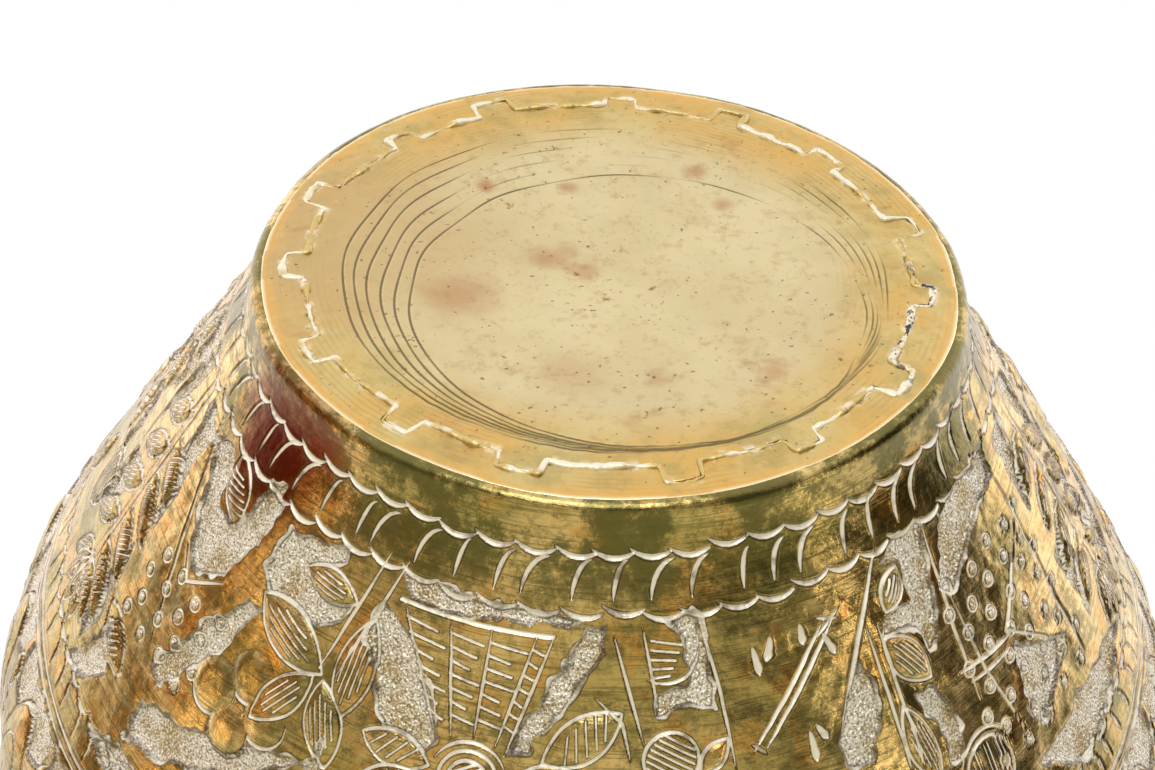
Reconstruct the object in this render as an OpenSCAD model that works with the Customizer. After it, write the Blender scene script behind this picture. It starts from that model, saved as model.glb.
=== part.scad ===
// Chased sheet-brass bowl with a cramped base.
// The wall is rolled from sheet, brazed up its side, turned in at the foot and rolled
// over a wire at the mouth. A separate disc with tabs closes the foot.
// The bowl stands mouth up: +Z is up, and the origin is the centre of the foot's face.

/* [Body] */
// Outer diameter of the foot at the heel
foot_d = 160; // [132:1:192]
// Outer diameter of the body at its widest
body_d = 302; // [268:1:364]
// Height of the widest part above the foot
belly_h = 135; // [112:1:148]
// Overall height, to the top of the rolled rim
total_h = 205; // [192:1:246]
// Outer diameter of the neck at its narrowest
neck_d = 240; // [200:1:262]
// Thickness of the brass sheet
sheet = 1.4; // [1:0.1:1.8]

/* [Curves] */
// Outer radius of the heel, between the flat flange and the side
heel_r = 2.6; // [2.2:0.1:4]
// Radius of the hollow curve just above the heel
cove_r = 30; // [15:1:45]
// Radius of the belly below the widest part
belly_r = 70; // [40:1:90]
// Radius of the shoulder above the widest part
shoulder_r = 52; // [36:1:60]
// Radius of the hollow curve of the neck
neck_r = 14; // [9:1:18]
// Lean of the side just above the heel, in degrees from upright
heel_lean = 6; // [0:1:15]
// Lean of the lip where the rim starts to roll, in degrees from upright
lip_lean = 40; // [15:1:50]

/* [Base seam] */
// Width of the flat flange and the heel together, from the disc to the outside of the foot
flange_w = 12.4; // [11:0.1:15]
// Number of tabs on the base disc
tab_n = 15; // [9:1:19]
// Width of a tab at its tip
tab_w = 8; // [5:0.5:11]
// How far a tab reaches past the disc
tab_l = 5.6; // [3:0.1:6]
// How much narrower a tab is at its root than at its tip
tab_flare = 1.2; // [0:0.1:2]
// Width of the brazed joint around the disc and its tabs
braze_gap = 0.6; // [0.3:0.1:0.9]
// Direction of the first tab, in degrees
tab_phase = 17.4; // [0:0.1:40]

/* [Base disc] */
// How far the middle of the disc is dished up from the table
dish_h = 1.8; // [0.5:0.1:3]
// Width of the flat border around the dish
dish_margin = 1.5; // [1:0.5:6]

/* [Side seam] */
// Direction of the brazed side seam, in degrees
side_seam_at = 101.4; // [0:0.1:360]
// Width of the brazed line
side_gap = 0.8; // [0.6:0.1:1.2]
// How far the line steps to each side
side_step = 3; // [2:0.5:5]
// Height of one step
side_pitch = 14; // [9:1:20]

/* [Rim] */
// Diameter of the wire inside the rolled rim
wire_d = 5; // [3:0.5:6]
// Gap between the wire and the sheet rolled around it
wire_gap = 0.06; // [0.04:0.01:0.15]
// How far around the wire the sheet is rolled, in degrees
roll_angle = 285; // [200:5:290]

/* [Hidden] */
$fn = 96;

foot_r = foot_d / 2;
body_r = body_d / 2;
disc_r = foot_r - flange_w;
wire_r = wire_d / 2;
roll_r = wire_r + wire_gap;

// Radius of the circle that the dish's section follows
dish_edge_r = disc_r - dish_margin;
dish_r = (pow(dish_edge_r, 2) + pow(dish_h, 2)) / (2 * dish_h);
// How far cutting tools reach past what they cut
overcut = 5;
// Number of straight runs in the dish's section
dish_n = 12;

// The wall's section is a chain of arcs. A wall that leans outwards by f degrees faces
// the outside along normal(f). A convex arc (side = 1) has its centre inside the wall, and
// a hollow one (side = -1) has it outside.
function normal(f) = [cos(f), -sin(f)];
function on_arc(c, r, side, f) = c + side * r * normal(f);
function arc_line(c, r, side, f0, f1, n, first = 0) =
    [for (i = [first:n]) on_arc(c, r, side, f0 + (f1 - f0) * i / n)];

// Lean of the straight run that touches a hollow arc and then a convex arc, and the reverse
function straight_length(d, s) = sqrt(d * d - s * s);
function lean_hollow_to_convex(d, s) = 90 - atan2(d[1], d[0]) + atan2(s, straight_length(d, s));
function lean_convex_to_hollow(d, s) = 90 - atan2(d[1], d[0]) - atan2(s, straight_length(d, s));

heel_c = [foot_r - heel_r, heel_r];
cove_c = on_arc(heel_c, heel_r, 1, heel_lean) + cove_r * normal(heel_lean);
belly_c = [body_r - belly_r, belly_h];
neck_top = (neck_r - roll_r) * sin(lip_lean) + roll_r + sheet;
neck_c = [neck_d / 2 + neck_r, total_h - neck_top];
// The shoulder's curve leaves room for a short straight run before the neck's hollow.
neck_in = neck_c[0] - body_r;
neck_rise = neck_c[1] - belly_h;
shoulder_room = (neck_in * neck_in + neck_rise * neck_rise - neck_r * neck_r) / (2 * (neck_r - neck_in));
shoulder_fit = min(shoulder_r, 0.97 * shoulder_room);
shoulder_c = [body_r - shoulder_fit, belly_h];
roll_c = on_arc(neck_c, neck_r - roll_r, -1, lip_lean);
flank_lean = lean_hollow_to_convex(belly_c - cove_c, cove_r + belly_r);
upper_lean = lean_convex_to_hollow(neck_c - shoulder_c, neck_r + shoulder_fit);

// Runs of the section, from the foot to the end of the roll. offset is 0 on the outside
// face and the sheet's thickness on the inside face.
function section_line(offset) = concat(
    [[disc_r, offset]],
    arc_line(heel_c, heel_r - offset, 1, 90, heel_lean, 7),
    arc_line(cove_c, cove_r + offset, -1, heel_lean, flank_lean, 7, 1),
    arc_line(belly_c, belly_r - offset, 1, flank_lean, 0, 8),
    arc_line(shoulder_c, shoulder_fit - offset, 1, 0, upper_lean, 10, 1),
    arc_line(neck_c, neck_r + offset, -1, upper_lean, lip_lean, 9),
    arc_line(roll_c, roll_r + offset, -1, lip_lean, lip_lean + roll_angle, 22, 1)
);

function reversed(list) = [for (i = [len(list) - 1:-1:0]) list[i]];

// The whole wall, before its seams are cut
module wall_sheet() {
    rotate_extrude()
        polygon(concat(section_line(0), reversed(section_line(sheet))));
}

// One tab of the base disc, pointing along +X, with every edge moved out by grow
module tab(grow) {
    root_x = disc_r - overcut;
    tip_x = disc_r + tab_l + grow;
    root_half = (tab_w - tab_flare) / 2 + grow;
    tip_half = tab_w / 2 + grow;
    polygon([[root_x, -root_half], [tip_x, -tip_half], [tip_x, tip_half], [root_x, root_half]]);
}

// The outline of the base disc with its tabs, with every edge moved out by grow
module disc_outline(grow) {
    circle(r = disc_r + grow);
    for (i = [0:tab_n - 1])
        rotate([0, 0, tab_phase + i * 360 / tab_n])
            tab(grow);
}

// Cuts right through the sheet at the foot, along the disc's outline with its brazed joint
module foot_cutter() {
    translate([0, 0, -overcut])
        linear_extrude(sheet + 2 * overcut)
            disc_outline(braze_gap);
}

// The dish's line from its middle to its edge, raised by lift
function dish_line(lift) = [for (i = [0:dish_n])
    let (r = dish_edge_r * i / dish_n)
    [r, dish_h - dish_r + sqrt(dish_r * dish_r - r * r) + lift]];

// The stepped line of the side seam, as a band that crosses the whole wall on its +X side
module side_line() {
    steps = ceil(total_h / side_pitch);
    for (i = [0:steps]) {
        y = (i % 2 == 0) ? side_step : -side_step;
        translate([0, y - side_gap / 2, (i - 0.5) * side_pitch])
            cube([body_r + overcut, side_gap, side_pitch + side_gap]);
        translate([0, -side_step - side_gap / 2, (i + 0.5) * side_pitch])
            cube([body_r + overcut, 2 * side_step + side_gap, side_gap]);
    }
}

module wall() {
    color("goldenrod")
    difference() {
        wall_sheet();
        foot_cutter();
        rotate([0, 0, side_seam_at])
            side_line();
    }
}

module side_seam() {
    color("khaki")
    difference() {
        intersection() {
            wall_sheet();
            rotate([0, 0, side_seam_at])
                side_line();
        }
        foot_cutter();
    }
}

module base_disc() {
    color("darkkhaki")
    union() {
        linear_extrude(sheet)
            difference() {
                disc_outline(0);
                circle(r = dish_edge_r);
            }
        rotate_extrude()
            polygon(concat(dish_line(0), reversed(dish_line(sheet))));
    }
}

module base_seam() {
    color("wheat")
    linear_extrude(sheet)
        difference() {
            disc_outline(braze_gap);
            disc_outline(0);
        }
}

module rim_wire() {
    color("peru")
    rotate_extrude()
        translate(roll_c)
            circle(r = wire_r);
}

wall();
side_seam();
base_disc();
base_seam();
rim_wire();
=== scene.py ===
"""A chased sheet-brass bowl: its worked wall, turned base, brazed seams and rolled rim."""

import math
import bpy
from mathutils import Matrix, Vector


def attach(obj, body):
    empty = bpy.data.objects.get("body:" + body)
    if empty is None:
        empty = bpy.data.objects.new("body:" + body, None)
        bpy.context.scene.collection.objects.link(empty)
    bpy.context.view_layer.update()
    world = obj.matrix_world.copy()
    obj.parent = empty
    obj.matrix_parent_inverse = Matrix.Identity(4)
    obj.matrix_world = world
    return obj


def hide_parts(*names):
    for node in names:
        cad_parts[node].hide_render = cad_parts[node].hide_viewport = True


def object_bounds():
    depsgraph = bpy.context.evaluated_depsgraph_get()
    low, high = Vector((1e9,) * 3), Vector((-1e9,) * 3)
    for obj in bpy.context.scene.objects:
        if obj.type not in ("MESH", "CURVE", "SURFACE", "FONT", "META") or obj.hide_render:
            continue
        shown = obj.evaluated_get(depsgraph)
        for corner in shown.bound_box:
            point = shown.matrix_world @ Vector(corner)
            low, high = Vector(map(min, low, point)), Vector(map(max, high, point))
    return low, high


bl_info = {
    "name": "Chased Brass Bowl",
    "version": (1, 0, 0),
    "blender": (4, 5, 0),
    "location": "View3D > Sidebar > Brass Bowl",
    "description": "Builds a chased brass bowl with a cramped base around its CAD frame",
    "category": "Add Mesh",
}

from types import SimpleNamespace

import bpy
import numpy as np
from bpy.props import FloatProperty, FloatVectorProperty, IntProperty, PointerProperty
from mathutils import Matrix, Vector

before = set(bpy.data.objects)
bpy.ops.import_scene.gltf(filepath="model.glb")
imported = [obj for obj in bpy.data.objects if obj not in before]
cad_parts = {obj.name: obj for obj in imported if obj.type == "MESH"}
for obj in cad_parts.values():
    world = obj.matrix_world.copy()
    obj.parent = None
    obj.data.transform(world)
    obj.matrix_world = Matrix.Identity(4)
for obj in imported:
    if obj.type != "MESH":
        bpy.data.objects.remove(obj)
CAD_BOX = [list(corner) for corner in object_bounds()]
MM = 0.001
TINY = 1e-9
FULL_TURN = 360


# ---------------------------------------------------------------- sizes and finishes


class BowlSizes(bpy.types.PropertyGroup):
    """Sizes of the bowl, as its CAD source has them"""

    foot_r: FloatProperty(
        name="Foot radius", description="Outer radius of the heel", default=0.08, unit="LENGTH"
    )
    body_r: FloatProperty(
        name="Body radius", description="Radius at the widest", default=CAD_BOX[1][0], unit="LENGTH"
    )
    belly_h: FloatProperty(
        name="Belly height", description="Height of the widest part", default=0.135, unit="LENGTH"
    )
    total_h: FloatProperty(
        name="Height", description="Height to the top of the rim", default=CAD_BOX[1][2], unit="LENGTH"
    )
    neck_half: FloatProperty(
        name="Neck radius", description="Radius of the neck", default=0.12, unit="LENGTH"
    )
    sheet: FloatProperty(
        name="Sheet", description="Thickness of the brass", default=0.0014, unit="LENGTH"
    )
    heel_r: FloatProperty(
        name="Heel rounding", description="Rounding at the foot", default=0.0026, unit="LENGTH"
    )
    cove_r: FloatProperty(
        name="Cove", description="Hollow curve above the heel", default=0.03, unit="LENGTH"
    )
    belly_r: FloatProperty(
        name="Belly curve", description="Curve below the widest", default=0.07, unit="LENGTH"
    )
    shoulder_r: FloatProperty(
        name="Shoulder", description="Curve above the widest", default=0.052, unit="LENGTH"
    )
    neck_r: FloatProperty(
        name="Neck curve", description="Hollow curve of the neck", default=0.014, unit="LENGTH"
    )
    roll_r: FloatProperty(
        name="Roll", description="Inner radius of the rolled rim", default=0.00256, unit="LENGTH"
    )
    heel_lean: FloatProperty(
        name="Heel lean", description="Lean above the heel", default=math.radians(6.0), unit="ROTATION"
    )
    lip_lean: FloatProperty(
        name="Lip lean", description="Lean where the rim rolls",
        default=math.radians(40.0), unit="ROTATION",
    )
    roll_angle: FloatProperty(
        name="Roll angle", description="How far the rim rolls",
        default=math.radians(285.0), unit="ROTATION",
    )
    disc_r: FloatProperty(
        name="Disc radius", description="Radius of the base disc", default=0.0676, unit="LENGTH"
    )
    tab_n: IntProperty(name="Tabs", description="Tabs on the base disc", default=15)
    tab_w: FloatProperty(name="Tab width", description="Width of a tab", default=0.008, unit="LENGTH")
    tab_l: FloatProperty(name="Tab length", description="Reach of a tab", default=0.0056, unit="LENGTH")
    tab_phase: FloatProperty(
        name="Tab phase", description="Direction of a tab", default=math.radians(17.4), unit="ROTATION"
    )
    dish_h: FloatProperty(
        name="Dish", description="Rise of the disc's middle", default=0.0018, unit="LENGTH"
    )
    side_at: FloatProperty(
        name="Side seam", description="Direction of the seam",
        default=math.radians(101.4), unit="ROTATION",
    )
    side_step: FloatProperty(name="Seam step", description="Sideways step", default=0.003, unit="LENGTH")
    side_pitch: FloatProperty(
        name="Seam pitch", description="Height of a step", default=0.014, unit="LENGTH"
    )


class BowlFinish(bpy.types.PropertyGroup):
    """Colours of the bowl's metals"""

    polished: FloatVectorProperty(
        name="Polished brass", description="High spots", subtype="COLOR", default=(0.94, 0.70, 0.32)
    )
    olive: FloatVectorProperty(
        name="Old lacquer", description="Darkened fields", subtype="COLOR", default=(0.62, 0.49, 0.19)
    )
    ground: FloatVectorProperty(
        name="Matted ground", description="Stippled grounds", subtype="COLOR", default=(1.0, 0.97, 0.87)
    )
    # Dark wax in the marks and dirt in the base seam's dashes; at the marks' edges it also stands for
    # painted shade
    dirt_and_shade: FloatVectorProperty(
        name="Dirt", description="Dark wax in the marks", subtype="COLOR", default=(0.07, 0.04, 0.015)
    )
    base: FloatVectorProperty(
        name="Base brass", description="Satin base disc", subtype="COLOR", default=(0.64, 0.545, 0.315)
    )
    stain: FloatVectorProperty(
        name="Stain", description="Reddish stains", subtype="COLOR", default=(0.42, 0.18, 0.07)
    )
    spelter: FloatVectorProperty(
        name="Spelter", description="Brazing metal", subtype="COLOR", default=(0.88, 0.84, 0.68)
    )


def sizes():
    """The sizes as plain numbers, in millimetres and degrees"""
    kept = bpy.context.scene.bowl_sizes
    plain = SimpleNamespace(tab_n=kept.tab_n)
    for name, prop in kept.bl_rna.properties.items():
        if prop.type == "FLOAT":
            value = getattr(kept, name)
            plain.__dict__[name] = round(value / MM if prop.unit == "LENGTH" else math.degrees(value), 4)
    return plain


def finish_colours():
    """The colours of the finishes"""
    return bpy.context.scene.bowl_finish


# ---------------------------------------------------------------- the wall's section


SECTION_STEP = 0.5
SAME_PLACE = 1e-6


class Section:
    """The wall's outside face as a chain of arcs, followed by its distance up the sheet.

    Distance 0 is where the flat foot turns into the heel. The lean is the wall's angle
    from upright, and the face's normal in the section is (cos lean, -sin lean)."""

    def __init__(self, b):
        self.sheet = b.sheet
        self.runs = []
        heel_c = np.array([b.foot_r - b.heel_r, b.heel_r])
        cove_c = self.on_arc(heel_c, b.heel_r, 1, b.heel_lean)
        cove_c = cove_c + b.cove_r * self.normal(b.heel_lean)
        belly_c = np.array([b.body_r - b.belly_r, b.belly_h])
        shoulder_c = np.array([b.body_r - b.shoulder_r, b.belly_h])
        rise = (b.neck_r - b.roll_r) * math.sin(math.radians(b.lip_lean)) + b.roll_r + b.sheet
        neck_c = np.array([b.neck_half + b.neck_r, b.total_h - rise])
        roll_c = self.on_arc(neck_c, b.neck_r - b.roll_r, -1, b.lip_lean)
        flank = self.touching_lean(belly_c - cove_c, b.cove_r + b.belly_r, 1)
        upper = self.touching_lean(neck_c - shoulder_c, b.neck_r + b.shoulder_r, -1)
        self.add(heel_c, b.heel_r, 1, 90.0, b.heel_lean)
        self.add(cove_c, b.cove_r, -1, b.heel_lean, flank)
        self.add(belly_c, b.belly_r, 1, flank, 0.0)
        self.add(shoulder_c, b.shoulder_r, 1, 0.0, upper)
        self.add(neck_c, b.neck_r, -1, upper, b.lip_lean)
        self.roll_start = len(self.runs)
        self.add(roll_c, b.roll_r, -1, b.lip_lean, b.lip_lean + b.roll_angle)
        table = np.array(self.runs)
        steps = np.hypot(np.diff(table[:, 0]), np.diff(table[:, 1]))
        keep = np.concatenate([[True], steps > SAME_PLACE])
        self.rim_s = float(np.sum(steps[: self.roll_start - 1]))
        table = table[keep]
        steps = np.hypot(np.diff(table[:, 0]), np.diff(table[:, 1]))
        self.s = np.concatenate([[0.0], np.cumsum(steps)])
        self.r, self.z, self.lean = table.T
        self.end = float(self.s[-1])

    @staticmethod
    def normal(lean):
        return np.array([math.cos(math.radians(lean)), -math.sin(math.radians(lean))])

    def on_arc(self, centre, radius, side, lean):
        """The place with this lean on a convex (side 1) or hollow (side -1) arc"""
        return np.array(centre) + side * radius * self.normal(lean)

    @staticmethod
    def touching_lean(d, total, sign):
        """Lean of the straight run between a hollow arc and a convex one"""
        straight = math.sqrt(d @ d - total * total)
        return 90 - math.degrees(math.atan2(d[1], d[0])) + sign * math.degrees(
            math.atan2(total, straight)
        )

    def add(self, centre, radius, side, lean0, lean1):
        """Adds an arc from one lean to another"""
        steps = max(6, int(radius * math.radians(abs(lean1 - lean0)) / SECTION_STEP))
        for k in range(steps + 1):
            lean = lean0 + (lean1 - lean0) * k / steps
            point = self.on_arc(centre, radius, side, lean)
            self.runs.append((point[0], point[1], lean))

    def at(self, s):
        """Radius, height and outward normal at a distance up the sheet"""
        r = np.interp(s, self.s, self.r)
        z = np.interp(s, self.s, self.z)
        lean = np.radians(np.interp(s, self.s, self.lean))
        return r, z, np.cos(lean), -np.sin(lean)


def hand_wobble(turn, s):
    """Unevenness of a hand-raised sheet, in mm, for a direction in degrees and a height"""
    a = np.radians(turn)
    low = 0.34 * np.sin(3 * a + 0.7) + 0.22 * np.sin(5 * a + 2.1 + s * 0.013)
    dents = 0.16 * np.sin(11 * a + s * 0.05) * np.sin(s * 0.083 + 1.3 + 2 * a)
    planish = 0.05 * np.sin(37 * a + s * 0.31) * np.sin(s * 0.42 + 19 * a)
    return low + dents + planish


# ---------------------------------------------------------------- the chased relief


class Relief:
    """The chased picture on the unrolled wall: a height in mm, and masks for the finish.

    A place is (turn, up): degrees from the home direction towards +X, and mm up the sheet.
    The home direction is itself in degrees from the front."""

    STEP_DEG, STEP_MM = 0.1, 0.2
    MEAN_RADIUS = 108

    def __init__(self, section, top):
        self.section = section
        self.top = top
        self.cols = int(round(FULL_TURN / self.STEP_DEG))
        self.rows = int(top / self.STEP_MM) + 1
        self.turns = -180 + self.STEP_DEG * np.arange(self.cols)
        self.ups = self.STEP_MM * np.arange(self.rows)
        self.radius = section.at(self.ups)[0]
        self.home = 0.0
        self.cut, self.lip, self.lift, self.sink, self.matte, self.mark = np.zeros(
            (6, self.rows, self.cols), np.float32
        )
        self.ragged = 0.38 * self.soft_noise(5, 2.6) + 0.3 * self.soft_noise(6, 6.0)

    def to_mm(self, points):
        """Points as mm from the first point's direction, with its own direction returned"""
        t0 = points[0][0]
        ups = np.array([p[1] for p in points], float)
        around = np.radians(np.array([p[0] for p in points], float) - t0)
        return np.stack([around * np.interp(ups, self.ups, self.radius), ups], -1), t0 + self.home

    def window(self, mm, t0, margin):
        """Rows and wrapped columns around a shape, with their places in the shape's mm"""
        lo = mm.min(0) - margin
        hi = mm.max(0) + margin
        j0 = max(0, int(lo[1] / self.STEP_MM))
        j1 = min(self.rows, int(hi[1] / self.STEP_MM) + 2)
        if j1 <= j0:
            return None
        r_small = self.radius[j0:j1].min()
        i0 = int((t0 + math.degrees(lo[0] / r_small) + 180) / self.STEP_DEG) - 1
        i1 = int((t0 + math.degrees(hi[0] / r_small) + 180) / self.STEP_DEG) + 2
        cols = np.arange(i0, i1)
        turn = -180 + self.STEP_DEG * cols - t0
        x = np.radians(turn)[None, :] * self.radius[j0:j1, None]
        y = np.repeat(self.ups[j0:j1, None], len(cols), 1)
        return np.ix_(np.arange(j0, j1), cols % self.cols), x, y

    @staticmethod
    def from_side(x, y, a, b):
        """How far along a side the nearest place is, and the way from there"""
        dx, dy = b - a
        q = np.clip(((x - a[0]) * dx + (y - a[1]) * dy) / max(dx * dx + dy * dy, TINY), 0, 1)
        return q, x - a[0] - q * dx, y - a[1] - q * dy

    @staticmethod
    def raise_to(layer, where, value):
        layer[where] = np.maximum(layer[where], value)

    def stroke(self, points, width=0.9, depth=0.42, taper=True):
        """A mark driven along a line with a tracer or a liner"""
        mm, t0 = self.to_mm(points)
        win = self.window(mm, t0, width * 1.5)
        if win is None:
            return
        where, x, y = win
        run = np.hypot(*np.diff(mm, axis=0).T)
        along = np.concatenate([[0], np.cumsum(run)]) / max(run.sum(), TINY)
        best = np.full(x.shape, 9.0)
        side = np.zeros(x.shape)
        for k in range(len(mm) - 1):
            q, off_x, off_y = self.from_side(x, y, mm[k], mm[k + 1])
            d = np.hypot(off_x, off_y)
            half = width / 2
            if taper:
                f = along[k] + (along[k + 1] - along[k]) * q
                half = half * (0.16 + 0.84 * np.clip(np.sin(np.pi * f), 0, 1) ** 0.7)
            nearer = d / half < best
            side = np.where(nearer, (0.45 * off_x - 0.9 * off_y) / half, side)
            best = np.where(nearer, d / half, best)
        groove = np.clip(1 - best * best, 0, 1)
        self.raise_to(self.cut, where, depth * groove)
        # The mark is pale in the groove's middle and dark at its edges, and the pale part is pushed to
        # one side and the dark to the other, as if lit from that side: polish and wax, and also painted
        # highlight and painted shade.
        self.raise_to(self.mark, where, np.clip(1.42 - best - 0.38 * side, 0, 1) * (best < 1.9))
        lip = np.exp(-(((best - 1.5) / 0.5) ** 2))
        self.raise_to(self.lip, where, 0.16 * depth * lip)

    def inside(self, points):
        """Distance in mm to a closed outline, positive inside it"""
        mm, t0 = self.to_mm(points)
        win = self.window(mm, t0, 1.0)
        if win is None:
            return None
        where, x, y = win
        odd = np.zeros(x.shape, bool)
        best = np.full(x.shape, 99.0)
        for a, b in zip(np.roll(mm, 1, 0), mm):
            best = np.minimum(best, np.hypot(*self.from_side(x, y, a, b)[1:]))
            rise = b[1] - a[1]
            edge_x = a[0] + (y - a[1]) * (b[0] - a[0]) / (rise if abs(rise) > TINY else TINY)
            odd ^= ((a[1] > y) != (b[1] > y)) & (x < edge_x)
        return where, np.where(odd, best, -best)

    def ground(self, points, depth=0.55):
        """A field beaten down and matted with a stippling punch"""
        found = self.inside(points)
        if found is None:
            return
        where, d = found
        d = d + self.ragged[where]
        self.raise_to(self.sink, where, 1.7 * depth * smooth_step(d / 1.5))
        self.raise_to(self.matte, where, np.clip(d / 0.35, 0, 1))
        # The ground's edge goes into the mark mask, so it shows a pale line with dark fringes: painted
        # highlight and painted shade along the sunk edge.
        rim = np.clip(1.35 - np.abs(d - 0.45) / 0.5, 0, 0.78) * (0.75 + 0.5 * self.ragged[where])
        self.raise_to(self.mark, where, rim)

    def boss(self, points, height=0.6, soft=3.0):
        """A field left standing or pushed out from inside, such as a leaf or a petal"""
        found = self.inside(points)
        if found is None:
            return
        where, d = found
        k = np.clip(d / soft, 0, 1)
        self.raise_to(self.lift, where, height * np.sin(k * np.pi / 2))
        keep = np.clip(1 - d / 0.3, 0, 1)
        for layer in (self.sink, self.matte, self.cut, self.lip, self.mark):
            layer[where] *= keep

    def soft_noise(self, seed, size):
        """Even random dents of about one size in mm, with a spread of 1"""
        shape = self.cut.shape
        white = np.random.default_rng(seed).normal(0, 1, shape)
        fy = np.fft.fftfreq(shape[0], self.STEP_MM)[:, None]
        fx = np.fft.rfftfreq(shape[1], math.radians(self.STEP_DEG) * self.MEAN_RADIUS)[None, :]
        soft = np.fft.rfft2(white) * np.exp(-2 * (math.pi * size / 2.6) ** 2 * (fx * fx + fy * fy))
        soft = np.fft.irfft2(soft, shape)
        return (soft / soft.std()).astype(np.float32)

    def height(self):
        """The finished height: the picture, soft edges round the sunk fields, and dents"""
        worked = np.clip((self.ups - 20) / 10, 0, 1)[:, None]
        dents = 0.10 * self.soft_noise(11, 7.0) + 0.035 * self.soft_noise(12, 2.4)
        plain = 0.020 * self.soft_noise(13, 5.0) + 0.010 * self.soft_noise(14, 1.6)
        body = dents * worked + plain * (1 - 0.6 * worked)
        pits = 0.05 * self.matte * self.soft_noise(15, 0.55)
        return self.lift - self.sink - self.cut + self.lip + body + pits

    def sample(self, layer, turn, up):
        """The layer's value at any places, between its points"""
        x = (np.asarray(turn) + 180) / self.STEP_DEG
        y = np.clip(np.asarray(up) / self.STEP_MM, 0, self.rows - 1.001)
        i = np.floor(x).astype(int)
        j = np.floor(y).astype(int)
        fx, fy = x - i, y - j
        i0, i1 = i % self.cols, (i + 1) % self.cols
        low = layer[j, i0] * (1 - fx) + layer[j, i1] * fx
        high = layer[j + 1, i0] * (1 - fx) + layer[j + 1, i1] * fx
        inside = (np.asarray(up) >= 0) & (np.asarray(up) < self.top)
        return (low * (1 - fy) + high * fy) * inside

    # Shapes. Lengths are mm, and angles are degrees from the +turn direction.

    def deg(self, mm, up):
        """Degrees round the wall that take up a length there"""
        return math.degrees(mm / float(np.interp(up, self.ups, self.radius)))

    def place(self, at, shape, angle=0.0):
        """Turns a shape's own mm into places on the wall, about one place"""
        c, s = math.cos(math.radians(angle)), math.sin(math.radians(angle))
        return [
            (at[0] + self.deg(x * c - y * s, at[1]), at[1] + x * s + y * c) for x, y in shape
        ]

    def arc(self, at, radius, a0, a1, n=9):
        """Places on a circle about a place, from one angle to another"""
        angles = [math.radians(a0 + (a1 - a0) * k / (n - 1)) for k in range(n)]
        return self.place(at, [(radius * math.cos(a), radius * math.sin(a)) for a in angles])

    def leaf(self, at, length, width, angle, veins=5, height=0.7, along=False):
        """A pointed leaf with slanting veins, or with hatching along it"""
        n = 14

        def half(t):
            return width / 2 * math.sin(math.pi * min(max(t, 0), 1)) ** 0.8

        outline = [(length * k / n, half(k / n)) for k in range(n)]
        outline += [(length * (1 - k / n), -half(1 - k / n)) for k in range(n)]
        points = self.place(at, outline, angle)
        self.boss(points, height, width * 0.4)
        self.stroke(points + points[:1], 0.75, 0.4, taper=False)
        for k in range(veins):
            f = (k + 0.5) / max(veins, 1)
            if along:
                off = width * 0.68 * (f - 0.5)
                short = 0.42 * abs(f - 0.5)
                line = [(length * (0.16 + short), off), (length * (0.84 - short), off)]
            else:
                t = 0.18 + 0.62 * f
                line = [(length * (t - 0.25 / (veins + 1)), -half(t) * 0.72)]
                line += [(length * (t + 0.14), half(t) * 0.66)]
            self.stroke(self.place(at, line, angle), 0.52, 0.24, taper=False)

    def leaf_to(self, a, b, width, veins=4, along=True, height=0.9):
        """A leaf from its base to its tip"""
        dx = (b[0] - a[0]) / self.deg(1.0, (a[1] + b[1]) / 2)
        dy = b[1] - a[1]
        angle = math.degrees(math.atan2(dy, dx))
        self.leaf(a, math.hypot(dx, dy), width, angle, veins, height, along)

    def hatched_disc(self, at, radius, lines=6, angle=60):
        """A round boss with a line round it and hatching across"""
        self.boss(self.arc(at, radius, 0, 348, 24), 0.5, radius * 0.6)
        self.stroke(self.arc(at, radius, 0, 360, 25), 0.85, 0.4, taper=False)
        for k in range(lines):
            off = radius * (-0.78 + 1.56 * (k + 0.5) / lines)
            half = math.sqrt(radius * radius - off * off) * 0.82
            self.stroke(self.place(at, [(-half, off), (half, off)], angle), 0.65, 0.24, taper=False)

    def rosette(self, at, radius=1.25):
        """A small pearl left by a ring punch"""
        self.boss(self.arc(at, radius, 0, 330, 12), 0.34, radius)
        self.stroke(self.arc(at, radius * 1.15, 0, 360, 13), 0.55, 0.26, taper=False)
        found = self.inside(self.arc(at, radius * 0.8, 0, 330, 12))
        if found is not None:
            where, d = found
            self.raise_to(self.matte, where, np.clip(d / 0.2, 0, 1))

    def tick(self, at, length, width, angle):
        """A wedge driven with a chisel's corner"""
        self.stroke(self.place(at, [(0, 0), (length, 0)], angle), width, 0.55)
        self.stroke(self.place(at, [(0, 0), (0.55 * length, 0)], angle), 1.25 * width, 0.5)

    def double_line(self, a, b, gap=2.2, width=0.8):
        """Two lines side by side, as stems and panel edges have"""
        for side in (-0.5, 0.5):
            shift_a = self.deg(gap * side, a[1])
            shift_b = self.deg(gap * side, b[1])
            self.stroke([(a[0] + shift_a, a[1]), (b[0] + shift_b, b[1])], width, 0.4)

    def crescents(self, up, count, width, dip, phase=0.0, weight=1.15):
        """A ring of crescents cut with a curved chisel, hung like a festoon"""
        half = self.deg(width / 2, up)
        for k in range(count):
            t = phase + FULL_TURN / count * (k + math.sin(k * 12.9898) * 0.14)
            middle = up + 0.5 * math.sin(k * 0.9) + 0.35 * math.sin(k * 2.3 + 1)
            run = np.linspace(-1, 1, 7)
            points = [(t + half * f, middle + dip * (1 - f * f) - 0.35 * f) for f in run]
            self.stroke(points, weight, 0.5)

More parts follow.
